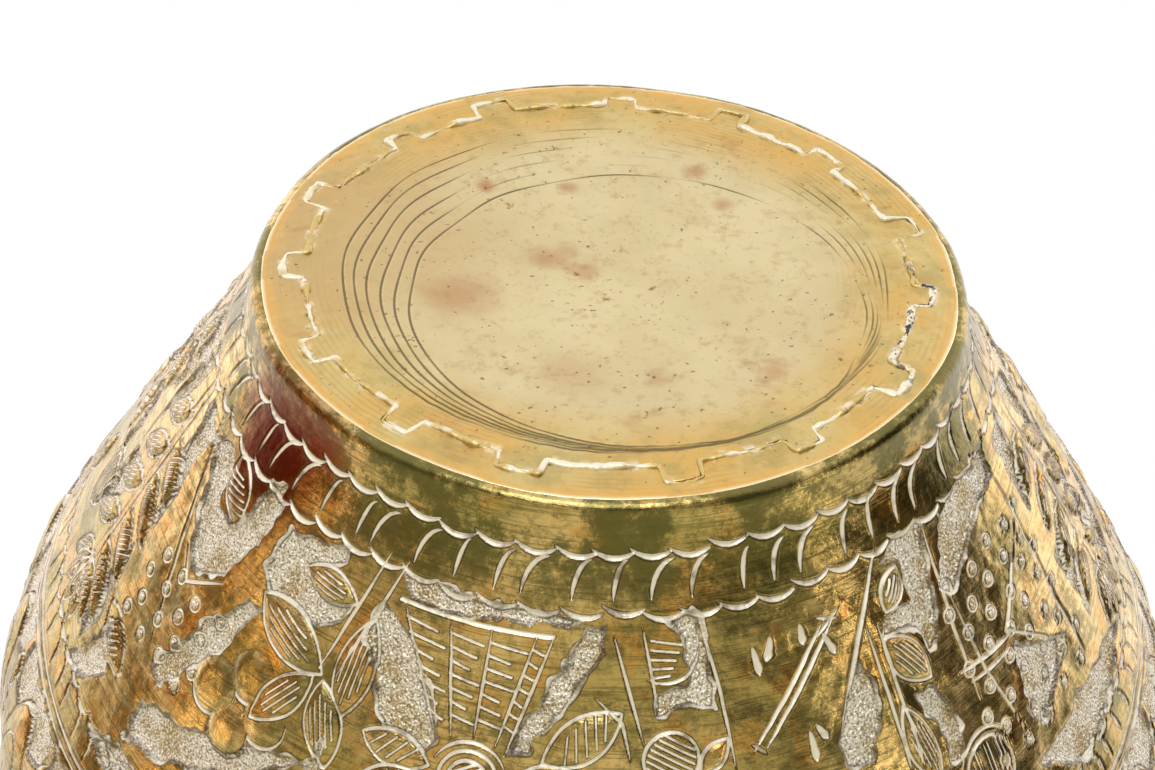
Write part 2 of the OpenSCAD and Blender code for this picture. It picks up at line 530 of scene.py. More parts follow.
    def feathers(self, up0, up1, count, lean, phase=0.0):
        """Curved strokes between two borders, like the barbs of a feather"""
        for k in range(count):
            t = phase + FULL_TURN / count * (k + math.sin(k * 78.233) * 0.12)
            reach = self.deg(lean * (0.8 + 0.35 * math.sin(k * 1.7)), up0)
            points = []
            for a in np.linspace(0, math.pi / 2, 7):
                points.append((t - reach * math.cos(a), up0 + (up1 - up0) * math.sin(a) ** 0.9))
            self.stroke(points, 1.15, 0.42)


# ---------------------------------------------------------------- the chased pictures
# Each panel is drawn about the relief's home direction, from up = 22 to up = 104, so a panel
# can be set anywhere round the bowl. In the marks' own angles, 0 is towards +turn, 90 is up
# the wall and -90 is towards the foot.


def panel_sunburst(w):
    """A sun with hatched rays towards the foot, between two matted bands"""
    sun = (0, 61)
    w.ground([(13.6, 23.6), (-12.2, 24.6), (-11.4, 27.6), (11.6, 29.6)], 0.4)
    w.ground([(15.4, 32.0), (12.6, 31.0), (7.2, 42.0), (3.6, 54.0), (5.0, 58.5), (9.0, 58.5),
              (12.6, 50.0), (15.2, 40.0)])
    w.ground([(-11.6, 27.0), (-14.6, 25.6), (-14.4, 32.0), (-9.6, 44.0), (-6.4, 54.0), (-3.6, 55.0),
              (-4.4, 49.0), (-8.0, 38.0)])
    edge = [(11.8, 29.6), (5.4, 30.0), (0.0, 30.0), (-5.6, 30.0), (-7.8, 29.2)]
    ends = [(4.4, 54.2), (2.6, 53.4), (0.1, 53.0), (-2.4, 53.4), (-3.6, 54.4)]
    w.stroke([(12.4, 29.2), (-7.6, 29.4)], 1.0, 0.45, taper=False)
    for k, (a, b) in enumerate(zip(edge, ends)):
        w.stroke([a, b], 0.85, 0.42)
        if k < len(edge) - 1:
            c, d = edge[k + 1], ends[k + 1]
            for i in range(7):
                f = 0.1 + 0.115 * i
                p = (a[0] + (b[0] - a[0]) * f, a[1] + (b[1] - a[1]) * f)
                q = (c[0] + (d[0] - c[0]) * f, c[1] + (d[1] - c[1]) * f)
                reach = 0.72 + 0.18 * math.sin(i * 2.1 + k)
                w.stroke([p, (p[0] + (q[0] - p[0]) * reach, p[1] + 1.0)], 0.66, 0.2, taper=False)
    w.hatched_disc(sun, 4.2, 5, 30)
    w.stroke(w.arc(sun, 6.2, 0, 360, 33), 0.9, 0.42, taper=False)
    w.stroke(w.arc(sun, 8.0, 200, 340, 17), 0.9, 0.42)
    for k in range(9):
        a = -8 + k * 196 / 8
        at = w.arc(sun, 8.4, a, a, 2)[0]
        w.leaf(at, 15.5, 7.2, a, 4, 0.6)
    w.ground([(16.5, 62), (14.8, 78), (9.0, 90), (16.0, 92), (19.0, 76)])
    w.ground([(-13.0, 62), (-14.8, 78), (-9.0, 90), (-15.0, 92), (-16.6, 76)])


def panel_branch(w):
    """A double stem with hatched leaves over a matted ground"""
    w.ground([(8.2, 28.3), (-1.8, 24.2), (-2.2, 28.0), (1.9, 31.7), (2.8, 34.2), (-4.5, 35.8),
              (-4.5, 39.2), (-1.0, 43.5), (6.8, 42.7), (9.6, 39.0)])
    w.ground([(9.6, 45.5), (6.6, 47.0), (10.6, 62.0), (15.6, 78.0), (18.6, 77.0), (14.6, 60.0)])
    w.ground([(17.0, 94.0), (17.6, 83.0), (9.6, 79.0), (0.6, 71.5), (-6.4, 69.0), (0.6, 80.0),
              (12.6, 92.0)])
    for at, radius in (((4.3, 60.0), 5.8), ((8.6, 67.0), 6.2), ((0.6, 66.5), 5.6), ((4.6, 73.0), 5.6)):
        w.boss(w.arc(at, radius, 0, 345, 20), 0.9, 3.4)
        w.stroke(w.arc(at, radius, -10, 200, 17), 0.85, 0.42)
    w.leaf_to((-5.4, 34.2), (3.4, 32.6), 6.8, 4)
    w.leaf_to((-7.4, 58.0), (-8.4, 35.6), 9.2, 5)
    w.leaf_to((-4.0, 51.0), (8.0, 43.0), 10.6, 5, height=1.1)
    w.leaf_to((-3.0, 52.0), (2.2, 67.0), 7.6, 4)
    w.leaf_to((-4.4, 52.0), (-7.8, 68.5), 8.6, 5, height=1.1)
    w.double_line((-9.3, 21.2), (-4.6, 50.5), 4.4, 1.05)
    w.leaf_to((-7.0, 84.0), (3.0, 96.0), 8.6, 6)
    w.leaf_to((10.0, 97.0), (1.0, 104.0), 8.6, 6)


def panel_small_hatch(w):
    """A narrow panel with a triangle of hatching, an oval and a hatched disc"""
    w.ground([(-1.0, 25.0), (-5.8, 24.2), (-6.8, 33.0), (-6.6, 44.2), (-3.8, 43.2), (0.4, 45.8),
              (0.3, 40.2), (-3.2, 38.4), (-3.4, 30.0)])
    w.stroke([(5.2, 28.3), (1.5, 51.0)], 0.95, 0.42)
    w.stroke([(1.6, 26.7), (-0.2, 44.5)], 0.85, 0.42)
    for k in range(5):
        w.stroke([(0.6, 29.4 + 1.9 * k), (-3.2 + 0.4 * k, 30.6 + 1.5 * k)], 0.6, 0.24, taper=False)
    w.stroke(w.arc((-1.0, 31.0), 7.2, 60, 175, 11), 0.8, 0.36)
    w.leaf_to((12.6, 55.0), (3.8, 44.0), 9.0, 5, along=False)
    w.stroke([(7.2, 41.0), (4.0, 46.0), (3.0, 54.0)], 0.9, 0.4)
    w.hatched_disc((-1.4, 53.6), 5.6, 7, 150)
    w.leaf_to((-4.6, 57.0), (-7.8, 50.5), 4.6, 0)
    w.stroke([(-5.6, 25.0), (-7.4, 40.0), (-8.5, 57.5)], 0.95, 0.42)
    w.ground([(8.8, 56.0), (3.2, 57.4), (1.6, 66.0), (5.6, 74.0), (8.6, 66.0)])
    w.leaf_to((-2.6, 60.0), (-1.0, 81.0), 9.0, 7)
    w.leaf_to((3.0, 78.0), (2.0, 96.0), 8.0, 6)
    for k in range(4):
        w.rosette((-6.2, 63.0 + 5.2 * k))


def panel_plain(w):
    """A plain polished panel with a barred double line and chisel ticks"""
    w.double_line((5.9, 54.6), (-5.7, 32.6), 2.6, 1.0)
    w.stroke([(6.7, 52.8), (5.0, 55.4)], 0.9, 0.4)
    w.stroke([(-4.0, 31.6), (-7.2, 33.2)], 0.9, 0.4)
    w.stroke([(-7.6, 31.0), (-3.6, 35.4)], 0.8, 0.36)
    w.double_line((8.0, 92.0), (-6.6, 68.0), 2.6, 1.0)
    for turn, up, length, angle in (
        (4.6, 39.4, 6.0, -82), (3.6, 37.0, 5.0, -110), (-1.6, 36.0, 4.4, -92),
        (-5.6, 40.0, 5.2, -70), (-0.6, 60.0, 6.6, -86), (-2.4, 56.2, 4.2, -60),
        (5.4, 74.0, 6.0, -84), (2.6, 70.0, 4.6, -64), (-4.4, 82.0, 6.0, -95),
        (-1.0, 90.0, 5.0, -75), (3.2, 96.0, 5.0, -110),
    ):
        w.tick((turn, up), length, 1.7, angle)


def panel_reeds(w):
    """Matted leaves beside a double upright, with a hatched disc lower down"""
    w.ground([(3.1, 27.5), (0.4, 23.6), (-7.7, 23.8), (-6.6, 30.0), (-5.2, 38.3), (-3.8, 48.3),
              (-1.2, 50.0), (-0.6, 43.8), (4.5, 41.2), (5.0, 38.0), (-0.4, 37.2), (-1.0, 30.0)], 0.6)
    w.ground([(9.0, 41.7), (7.7, 48.3), (8.1, 58.3), (10.4, 65.8), (14.0, 64.2), (14.5, 58.3),
              (12.2, 50.0)], 0.6)
    w.ground([(3.6, 55.5), (-0.6, 56.5), (-1.8, 66.0), (-1.2, 76.0), (0.8, 74.0), (1.6, 64.0)], 0.6)
    w.leaf_to((3.4, 37.0), (-0.2, 29.2), 6.0, 4)
    w.leaf_to((5.0, 41.7), (0.2, 54.6), 8.0, 5, height=1.1)
    w.leaf_to((5.2, 57.0), (3.2, 76.0), 7.0, 5)
    w.stroke([(2.2, 23.3), (8.6, 39.2), (14.0, 58.0)], 1.05, 0.5)
    w.double_line((6.1, 38.0), (5.5, 72.0), 2.8, 0.95)
    w.stroke([(-7.3, 25.0), (-5.9, 48.0), (-5.9, 66.7)], 1.0, 0.46)
    w.hatched_disc((-3.9, 81.0), 7.2, 8, 90)
    w.stroke(w.arc((-3.9, 81.0), 9.0, 190, 350, 19), 0.9, 0.42)
    w.leaf_to((5.0, 84.0), (6.0, 101.0), 8.4, 6)


def panel_pearls(w):
    """A field of pearls with matted shapes and short bars"""
    for row in range(8):
        for col in range(5):
            at = (9.8 - 4.7 * col + 1.9 * (row % 2) + 0.5 * math.sin(row * 3.1 + col * 5.7),
                  41.0 + 5.9 * row + 1.0 * math.sin(row * 5.1 + col * 2.3))
            w.rosette(at, 1.45)
    w.ground([(10.4, 35.0), (6.7, 26.3), (1.2, 23.8), (-9.2, 25.0), (-8.0, 31.3), (-2.5, 32.5),
              (3.7, 37.5), (9.2, 42.5), (11.7, 40.0)], 0.7)
    w.ground([(3.7, 62.5), (-6.2, 75.0), (-2.5, 78.8), (3.7, 83.8), (5.5, 80.0)], 0.7)
    w.ground([(8.0, 89.0), (-3.7, 87.5), (-16.0, 91.0), (-19.0, 95.0), (-8.6, 99.0), (0.0, 101.0),
              (3.7, 96.0)], 0.7)
    w.stroke([(-9.2, 41.2), (3.7, 58.8), (-6.2, 76.2)], 1.0, 0.46)
    w.double_line((12.9, 58.4), (3.0, 60.4), 2.6, 0.95)
    w.stroke([(12.0, 62.0), (4.2, 62.8)], 0.9, 0.42)
    w.stroke([(10.4, 42.0), (9.4, 62.0), (6.6, 84.0)], 0.9, 0.42)
    w.stroke([(-8.0, 25.0), (-8.4, 87.0)], 1.0, 0.46)


def panel_shield(w):
    """A matted shield holding a hatched leaf, above a few pearls"""
    for row in range(4):
        for col in range(4):
            at = (4.4 - 4.4 * col + 1.4 * (row % 2), 56.5 + 5.8 * row + 0.8 * math.sin(row + 4.0 * col))
            w.rosette(at, 1.45)
    w.ground([(10.0, 29.6), (6.0, 37.5), (1.7, 51.0), (-0.8, 53.8), (-6.3, 47.5), (-8.8, 37.5),
              (-10.6, 27.5), (-8.6, 22.6), (-6.2, 23.0), (-4.5, 32.5), (-2.0, 38.0), (1.2, 35.6),
              (2.9, 27.5), (5.4, 26.0)], 0.75)
    w.leaf_to((1.6, 24.4), (-3.4, 37.4), 8.0, 6, along=False, height=1.0)
    w.stroke([(10.9, 25.0), (4.0, 50.0), (-0.8, 72.5)], 1.0, 0.48)
    w.stroke([(2.4, 50.0), (-1.0, 55.6), (-7.0, 48.6)], 0.95, 0.46)
    w.leaf_to((9.0, 78.0), (1.0, 86.0), 8.0, 5)
    w.ground([(6.0, 79.0), (9.6, 92.0), (12.0, 101.0), (7.0, 99.0), (3.0, 90.0)], 0.6)
    w.ground([(-9.0, 98.0), (-4.0, 96.0), (1.0, 101.0), (-4.0, 104.0)], 0.6)


def panel_tree(w):
    """A straight stem with long leaves to both sides and a fan at its foot"""
    w.ground([(10.6, 28.0), (3.4, 26.0), (6.0, 40.0), (10.2, 52.0)], 0.6)
    w.ground([(-2.4, 26.0), (-8.6, 30.0), (-8.0, 58.0), (-5.0, 50.0)], 0.6)
    w.ground([(9.8, 62.0), (4.0, 60.0), (4.4, 72.0), (9.6, 84.0)], 0.6)
    w.ground([(-6.4, 66.0), (-9.4, 80.0), (-8.4, 98.0), (-4.8, 84.0)], 0.6)
    for k in range(4):
        up = 36.0 + 11.5 * k
        w.leaf_to((0.6, up), (8.4, up + 10.5), 6.6, 4, height=1.0)
        w.leaf_to((-0.6, up + 5.0), (-8.0, up + 17.0), 6.6, 4, height=1.0)
    w.double_line((0.2, 24.0), (0, 82.0), 2.8, 1.0)
    for k in range(5):
        a = 38 + 26 * k
        w.leaf(w.arc((0, 82.0), 1.5, a, a, 2)[0], 15.0, 6.4, a, 4, 0.9, along=True)


PANEL_ORDER = (
    (panel_tree, -83.5), (panel_branch, -104.0), (panel_sunburst, -128.5), (panel_plain, -149.0),
    (panel_shield, -167.0), (panel_pearls, 173.0), (panel_branch, 149.0), (panel_sunburst, 126.0),
    (panel_small_hatch, 106.0), (panel_reeds, 91.0), (panel_tree, 75.0), (panel_shield, 56.5),
    (panel_branch, 35.4), (panel_sunburst, 11.9), (panel_small_hatch, -8.4), (panel_plain, -25.6),
    (panel_reeds, -43.4), (panel_pearls, -61.0),
)


def upper_zone(w):
    """The belly and shoulder: lotus petals over a matted band, and the upper border"""
    petals = 24
    for k in range(petals):
        w.home = 7.5 + k * FULL_TURN / petals
        w.ground([(-7.4, 112.5), (7.4, 112.5), (6.8, 122.0), (0, 128.5), (-6.8, 122.0)], 0.5)
        outline = []
        for f in np.linspace(-1, 1, 21):
            outline.append((6.6 * f * (1 - 0.12 * abs(f)), 161.0 - 43.0 * (1 - abs(f) ** 2.2) ** 0.9))
        w.boss(outline, 0.9, 7.0)
        w.stroke(outline, 1.1, 0.5)
        w.stroke([(0.74 * x, 161.5 - 0.78 * (161.5 - y)) for x, y in outline], 0.75, 0.34)
        for i in range(-2, 3):
            w.stroke([(1.55 * i, 160.0), (i, 134.5 + 4.2 * abs(i))], 0.7, 0.34)
        w.leaf((7.5, 118.5), 11.0, 6.0, 90, 4, 0.5)
        w.rosette((7.5, 133.0), 1.5)
        w.rosette((7.5, 138.5), 1.2)
        w.leaf((0, 166.5), 15.0, 8.5, 90, 5, 0.6)
        for side in (1, -1):
            w.ground([(1.2 * side, 165.0), (7.0 * side, 165.0), (4.6 * side, 180.5)], 0.45)
        w.rosette((7.5, 174.0), 1.6)
    w.home = 0.0
    for up in (109.0, 111.4, 162.2, 164.2, 184.4):
        ring = [(a, up + 0.4 * math.sin(math.radians(5 * a))) for a in range(-180, 180, 6)]
        for a, b in zip(ring, ring[1:] + [(180, ring[0][1])]):
            w.stroke([a, b], 0.95, 0.42, taper=False)
    w.crescents(98.5, 104, 8.4, 1.5, 1.0)
    w.feathers(107.4, 100.6, 104, 3.4, 1.5)
    w.crescents(186.6, 104, 7.6, 1.4, 2.0)
    w.feathers(195.0, 188.6, 104, 3.2, 0.6)


def chase_wall(section):
    """Works the whole wall: the foot's border, the panels and the upper zone"""
    w = Relief(section, section.rim_s - 14.0)
    for panel, turn in PANEL_ORDER:
        w.home = turn
        panel(w)
    upper_zone(w)
    w.crescents(10.9, 66, 8.6, 1.5, 2.2, 1.3)
    w.feathers(21.6, 13.2, 66, -4.6, 0.0)
    w.crescents(23.2, 68, 8.8, 1.5, 1.0, 1.25)
    w.height_map = w.height()
    return w


# ---------------------------------------------------------------- meshes


def sin_deg(x):
    return np.sin(np.radians(x))


def polar(r, turn, z):
    """Places in mm from radii, directions in degrees from the front, and heights"""
    a = np.radians(turn - 90)
    return np.stack([r * np.cos(a), r * np.sin(a), z], -1)


def smooth_step(x):
    x = np.clip(x, 0, 1)
    return x * x * (3 - 2 * x)


def zip_rows(a, ta, b, tb, flip):
    """Triangles that join two rows of points lying side by side"""
    made = []
    i = j = 0
    while i < len(a) - 1 or j < len(b) - 1:
        if j == len(b) - 1 or (i < len(a) - 1 and ta[i + 1] <= tb[j + 1]):
            made.append((a[i], a[i + 1], b[j]))
            i += 1
        else:
            made.append((b[j + 1], b[j], a[i]))
            j += 1
    made = np.array(made)
    return made[:, ::-1] if flip else made


def quads_of(index, flip):
    """The quads of a grid of point numbers, rows by columns"""
    q = np.stack([index[:-1, :-1], index[:-1, 1:], index[1:, 1:], index[1:, :-1]], -1).reshape(-1, 4)
    return q[:, ::-1] if flip else q


def mesh_object(name, points, faces, flat_from=None, masks=None, normals=None):
    """A mesh from points in mm and blocks of faces; blocks from flat_from on are flat"""
    mesh = bpy.data.meshes.new(name)
    loops = np.concatenate([f.ravel() for f in faces]).astype(np.int32)
    sizes_of = np.concatenate([np.full(len(f), f.shape[1]) for f in faces])
    starts = np.concatenate([[0], np.cumsum(sizes_of)[:-1]]).astype(np.int32)
    mesh.vertices.add(len(points))
    mesh.vertices.foreach_set("co", (np.asarray(points) * MM).astype(np.float32).ravel())
    mesh.loops.add(len(loops))
    mesh.loops.foreach_set("vertex_index", loops)
    mesh.polygons.add(len(starts))
    mesh.polygons.foreach_set("loop_start", starts)
    smooth = np.ones(len(starts), bool)
    if flat_from is not None:
        smooth[sum(len(f) for f in faces[:flat_from]):] = False
    mesh.update(calc_edges=True)
    mesh.polygons.foreach_set("use_smooth", smooth)
    for key, values in (masks or {}).items():
        layer = mesh.attributes.new(key, "FLOAT", "POINT")
        layer.data.foreach_set("value", np.asarray(values, np.float32))
    mesh.validate()
    if normals is not None:
        mesh.normals_split_custom_set_from_vertices(normals)
    made = bpy.data.objects.new(name, mesh)
    bpy.context.scene.collection.objects.link(made)
    return made


def grid_normals(points):
    """Normals of a grid of points; its outermost rows and columns are there only for this"""
    across = points[1:-1, 2:] - points[1:-1, :-2]
    along = points[2:, 1:-1] - points[:-2, 1:-1]
    n = np.cross(across, along)
    return n / np.maximum(np.linalg.norm(n, axis=-1, keepdims=True), TINY)


def wall_points(section, turn, s, height, depth_in=0.0):
    """Places on the wall: turn in degrees from the front, s up the sheet, in mm"""
    r, z, nr, nz = section.at(s)
    out = height - depth_in
    return polar(r + nr * out + hand_wobble(turn, s), turn, z + nz * out)


# The inside face is coarser: one column for this many outside, mm to a row, rows in the roll
INSIDE_STRIDE, INSIDE_STEP, ROLL_ROWS = 6, 2.8, 34
# Share of the relief that shows on the inside face
SHOW_THROUGH = 0.55


def wall_panel(name, section, relief, turns, spans, step):
    """One closed piece of the wall's sheet, between two directions and two distances up it"""
    mid_r = float(section.at((spans[0] + min(spans[1], section.rim_s)) / 2)[0])
    cols = max(8, int(math.radians(turns[1] - turns[0]) * mid_r / step))
    rows = max(4, int((spans[1] - spans[0]) / step))
    t = np.linspace(turns[0], turns[1], cols + 1)
    s = np.linspace(spans[0], spans[1], rows + 1)
    wide_t = np.concatenate([[2 * t[0] - t[1]], t, [2 * t[-1] - t[-2]]])
    wide_s = np.concatenate([[2 * s[0] - s[1]], s, [2 * s[-1] - s[-2]]])
    tt, ss = np.meshgrid(wide_t, wide_s)
    outer = wall_points(section, tt, ss, relief.sample(relief.height_map, tt, ss))
    outer_n = grid_normals(outer)
    if spans[0] <= 0:
        outer_n[0] = (0, 0, -1)
    outer, tt, ss = outer[1:-1, 1:-1], tt[1:-1, 1:-1], ss[1:-1, 1:-1]
    ti = np.linspace(turns[0], turns[1], max(6, cols // INSIDE_STRIDE) + 1)
    si = np.arange(spans[0], min(spans[1], section.rim_s), INSIDE_STEP)
    if spans[1] > section.rim_s:
        si = np.concatenate([si, np.linspace(section.rim_s, spans[1], ROLL_ROWS)])
    else:
        si = np.concatenate([si[:-1], [spans[1]]])
    tti, ssi = np.meshgrid(ti, si)
    lift = relief.sample(relief.lift - relief.sink, tti, ssi) * SHOW_THROUGH
    inner = wall_points(section, tti, ssi, lift, section.sheet)
    a = np.arange(outer.shape[0] * outer.shape[1]).reshape(outer.shape[:2])
    b = np.arange(inner.shape[0] * inner.shape[1]).reshape(inner.shape[:2]) + a.size
    faces = [quads_of(a, False), quads_of(b, True)]
    sides = [
        zip_rows(a[0], t, b[0], ti, True),
        zip_rows(a[-1], t, b[-1], ti, False),
        zip_rows(a[:, 0], s, b[:, 0], si, False),
        zip_rows(a[:, -1], s, b[:, -1], si, True),
    ]
    faces.append(np.concatenate(sides))
    zero = np.zeros(b.size)
    masks = {
        "matte": np.concatenate([relief.sample(relief.matte, tt, ss).ravel(), zero]),
        # mark: the marks' pale cores and dark edges and the grounds' rims, partly painted highlight and
        # painted shade
        "mark": np.concatenate([relief.sample(relief.mark, tt, ss).ravel(), zero]),
        "inner": np.concatenate([np.zeros(a.size), np.where(ssi.ravel() < section.rim_s - 1, 1.0, 0.0)]),
    }
    points = np.concatenate([outer.reshape(-1, 3), inner.reshape(-1, 3)])
    edge = np.pad(inner, ((1, 1), (1, 1), (0, 0)), "edge")
    normals = np.concatenate([outer_n.reshape(-1, 3), -grid_normals(edge).reshape(-1, 3)])
    return mesh_object(name, points, faces, 2, masks, normals)


# ---------------------------------------------------------------- the foot and the base disc


def tab_outline(b, turn, grow):
    """Radius of the base disc's outline, tabs included, for directions in degrees"""
    turn = np.asarray(turn, float)
    radius = np.full(turn.shape, b.disc_r + grow)
    radius = radius + 0.28 * sin_deg(7 * turn + 40) + 0.18 * sin_deg(23 * turn)
    reach = np.zeros(turn.shape)
    for k in range(b.tab_n):
        middle = b.tab_phase + 90 + FULL_TURN * k / b.tab_n + 1.3 * math.sin(k * 2.4)
        width = b.tab_w * (0.94 + 0.16 * math.sin(k * 4.1)) + 2 * grow
        length = b.tab_l * (0.88 + 0.16 * math.sin(k * 3.3 + 1))
        off = (turn - middle + 180) % FULL_TURN - 180
        across = np.abs(np.radians(off)) * (b.disc_r + 2)
        edge = smooth_step((width / 2 + 0.45 - across) / 0.9)
        crown = 1 - 0.10 * (across / (width / 2)) ** 2
        reach = np.maximum(reach, length * edge * crown)
    return radius + reach


# The lathe's grooves: radius, and how far each one's centre is off the middle, in mm
GROOVES = ((50.0, 13.0), (52.3, 11.2), (54.4, 9.2), (56.6, 7.0), (58.6, 5.0), (60.6, 3.4))
GROOVE_SHIFT_TURN = -30.7


def base_relief(b, turn, r):
    """Height of the turned and hammered base, and its groove and seam masks"""
    a = np.radians(turn)
    x, y = r * np.sin(a), -r * np.cos(a)
    line = tab_outline(b, turn, 0.3)
    off = r - line
    wave = 0.10 * np.sin(x * 0.11 + 1.1) * np.sin(y * 0.13 + 0.4) + 0.05 * np.sin(x * 0.31 + y * 0.22)
    outer = smooth_step((r - 56) / 8)
    dents = np.sin(x * 0.61 + 2 * np.sin(y * 0.23)) * np.sin(y * 0.55 + 1.7 * np.sin(x * 0.31))
    dents = dents + 0.5 * np.sin(x * 1.3 + y * 0.7 + 1) * np.sin(y * 1.1 - x * 0.5)
    near = np.exp(-((off / 1.5) ** 2))
    rough = np.sin(a * 61) * np.sin(a * 97 + 1) * 0.5 + np.sin(a * 43 + 2) * 0.5
    height = 0.8 * wave + 0.13 * dents * outer - 0.12 * near * (0.7 + 0.5 * rough)
    height = height + 0.22 * np.exp(-(((off + 2.2) / 1.1) ** 2)) * (0.6 + 0.6 * rough)
    groove = np.zeros(np.shape(r))
    shift_way = math.radians(GROOVE_SHIFT_TURN)
    for k, (radius, shift) in enumerate(GROOVES):
        off_x, off_y = x - shift * math.sin(shift_way), y + shift * math.cos(shift_way)
        d = np.hypot(off_x, off_y)
        way = np.degrees(np.arctan2(off_x, off_y))
        wander = 0.45 * sin_deg(way * 11 + 40 * k) * sin_deg(way + 30) ** 2
        weight = 0.78 + 0.26 * sin_deg(way - 20 + 9 * k) + 0.2 * sin_deg(11 * way + 70 * k)
        weight = weight - (0.0 if k == 0 else 0.45) * smooth_step(sin_deg(way + 85) * 2 - 0.8)
        weight = np.clip(weight, 0.16, 1.0)
        groove = np.maximum(groove, weight * np.exp(-(((d - radius - wander) / 0.34) ** 2)))
    height = height - 0.26 * groove
    seam = np.exp(-((off / 1.1) ** 2))
    return height, groove, seam


def ring_object(name, bottom, top, masks, wrap_sides):
    """A closed ring or disc from a fine lower face and a coarse upper face, both polar grids.

    Grids are (rows from the middle outwards) by (columns round), in mm."""
    nb, nt = bottom.shape[:2], top.shape[:2]
    a = np.arange(nb[0] * nb[1]).reshape(nb)
    c = np.arange(nt[0] * nt[1]).reshape(nt) + a.size
    a = np.concatenate([a, a[:, :1]], 1)
    c = np.concatenate([c, c[:, :1]], 1)
    ta, tc = np.linspace(0, 1, a.shape[1]), np.linspace(0, 1, c.shape[1])
    faces = [quads_of(a, False), quads_of(c, True)]
    sides = [zip_rows(a[-1], ta, c[-1], tc, False)]
    points = [bottom.reshape(-1, 3), top.reshape(-1, 3)]
    if wrap_sides:
        sides.append(zip_rows(a[0], ta, c[0], tc, True))
    else:
        low = np.full(a.shape[1] - 1, a.size - nb[0] + c.size - nt[0])
        high = low[: c.shape[1] - 1] + 1
        fan_a = np.stack([low, a[0, 1:], a[0, :-1]], -1)
        fan_c = np.stack([high, c[0, :-1], c[0, 1:]], -1)
        faces += [fan_a, fan_c]
        points += [bottom[:1].mean(1), top[:1].mean(1)]
    flat_from = len(faces)
    faces.append(np.concatenate(sides))
    points = np.concatenate(points)
    blank = np.zeros(len(points) - bottom.size // 3)
    masks = {key: np.concatenate([value.ravel(), blank]) for key, value in masks.items()}
    return mesh_object(name, points, faces, flat_from, masks)


# Points round and across the lower faces; the disc has a plain middle, a turned part and tabs
FLANGE_COLS, FLANGE_ROWS = 1500, 34
DISC_COLS, DISC_ROWS = 660, (24, 112, 12)
# The upper faces take one in this many of the lower faces' directions, and fewer rows
TOP_STRIDE, FLANGE_TOP_ROWS, DISC_TOP_ROWS = 6, 4, 20


def foot_flange(b, section):
    """The flat turned-in part of the wall's sheet, notched for the disc's tabs"""
    cols, rows = FLANGE_COLS, FLANGE_ROWS
    turn = np.arange(cols) * FULL_TURN / cols
    r_in = tab_outline(b, turn, 0.6)
    r_out = section.at(0.0)[0] + hand_wobble(turn, 0.0)
    f = np.linspace(0, 1, rows)[:, None]
    r = r_in + (r_out - r_in) * f
    tt = np.repeat(turn[None, :], rows, 0)
    height, groove, seam = base_relief(b, tt, r)
    fade = smooth_step((1 - f) * 6)
    bottom = polar(r, tt, -height * fade)
    few = slice(None, None, TOP_STRIDE)
    ri = r_in[few] + (r_out[few] - r_in[few]) * np.linspace(0, 1, FLANGE_TOP_ROWS)[:, None]
    top = polar(ri, np.repeat(turn[None, few], FLANGE_TOP_ROWS, 0), np.full(ri.shape, b.sheet))
    masks = {"groove": groove * 0, "seam": seam, "rim": np.repeat(f, cols, 1)}
    return ring_object("foot_flange", bottom, top, masks, True)


def dish(b, r):
    """Rise of the dished disc above the table"""
    edge = b.disc_r - 1.5
    ball = (edge * edge + b.dish_h * b.dish_h) / (2 * b.dish_h)
    inside = np.clip(edge * edge - np.minimum(r, edge) ** 2, 0, None)
    return np.sqrt(ball * ball - edge * edge + inside) - (ball - b.dish_h)


def turned_disc(b):
    """The base disc, with its tabs and its lathe grooves"""
    cols = DISC_COLS
    turn = np.arange(cols) * FULL_TURN / cols
    r_out = tab_outline(b, turn, -0.02)
    plain, edge = 36.0, b.disc_r - 0.6
    rows, turned_rows, tab_rows = DISC_ROWS
    radii = np.concatenate([np.linspace(1.2, plain, rows), np.linspace(plain, edge, turned_rows)[1:]])
    body = np.repeat(radii[:, None], cols, 1)
    tabs = edge + (r_out - edge) * np.linspace(0, 1, tab_rows)[1:, None]
    r = np.concatenate([body, tabs])
    tt = np.repeat(turn[None, :], r.shape[0], 0)
    height, groove, seam = base_relief(b, tt, r)
    bottom = polar(r, tt, dish(b, r) - height)
    few = slice(None, None, TOP_STRIDE)
    radii = np.linspace(2, 66, DISC_TOP_ROWS)[:, None].repeat(cols // TOP_STRIDE, 1)
    ri = np.concatenate([radii, r_out[None, few]])
    top = polar(ri, np.repeat(turn[None, few], len(ri), 0), dish(b, ri) + b.sheet)
    masks = {"groove": groove, "seam": seam, "rim": groove * 0}
    return ring_object("turned_disc", bottom, top, masks, False)


# ---------------------------------------------------------------- Geometry Nodes


def line_object(name, paths):
    """Poly lines from lists of points in mm"""
    curve = bpy.data.curves.new(name, "CURVE")
    curve.dimensions = "3D"
    for points, closed in paths:
        spline = curve.splines.new("POLY")
        spline.points.add(len(points) - 1)
        co = np.ones((len(points), 4), np.float32)
        co[:, :3] = np.asarray(points) * MM
        spline.points.foreach_set("co", co.ravel())
        spline.use_cyclic_u = closed
    made = bpy.data.objects.new(name, curve)
    bpy.context.scene.collection.objects.link(made)
    return made


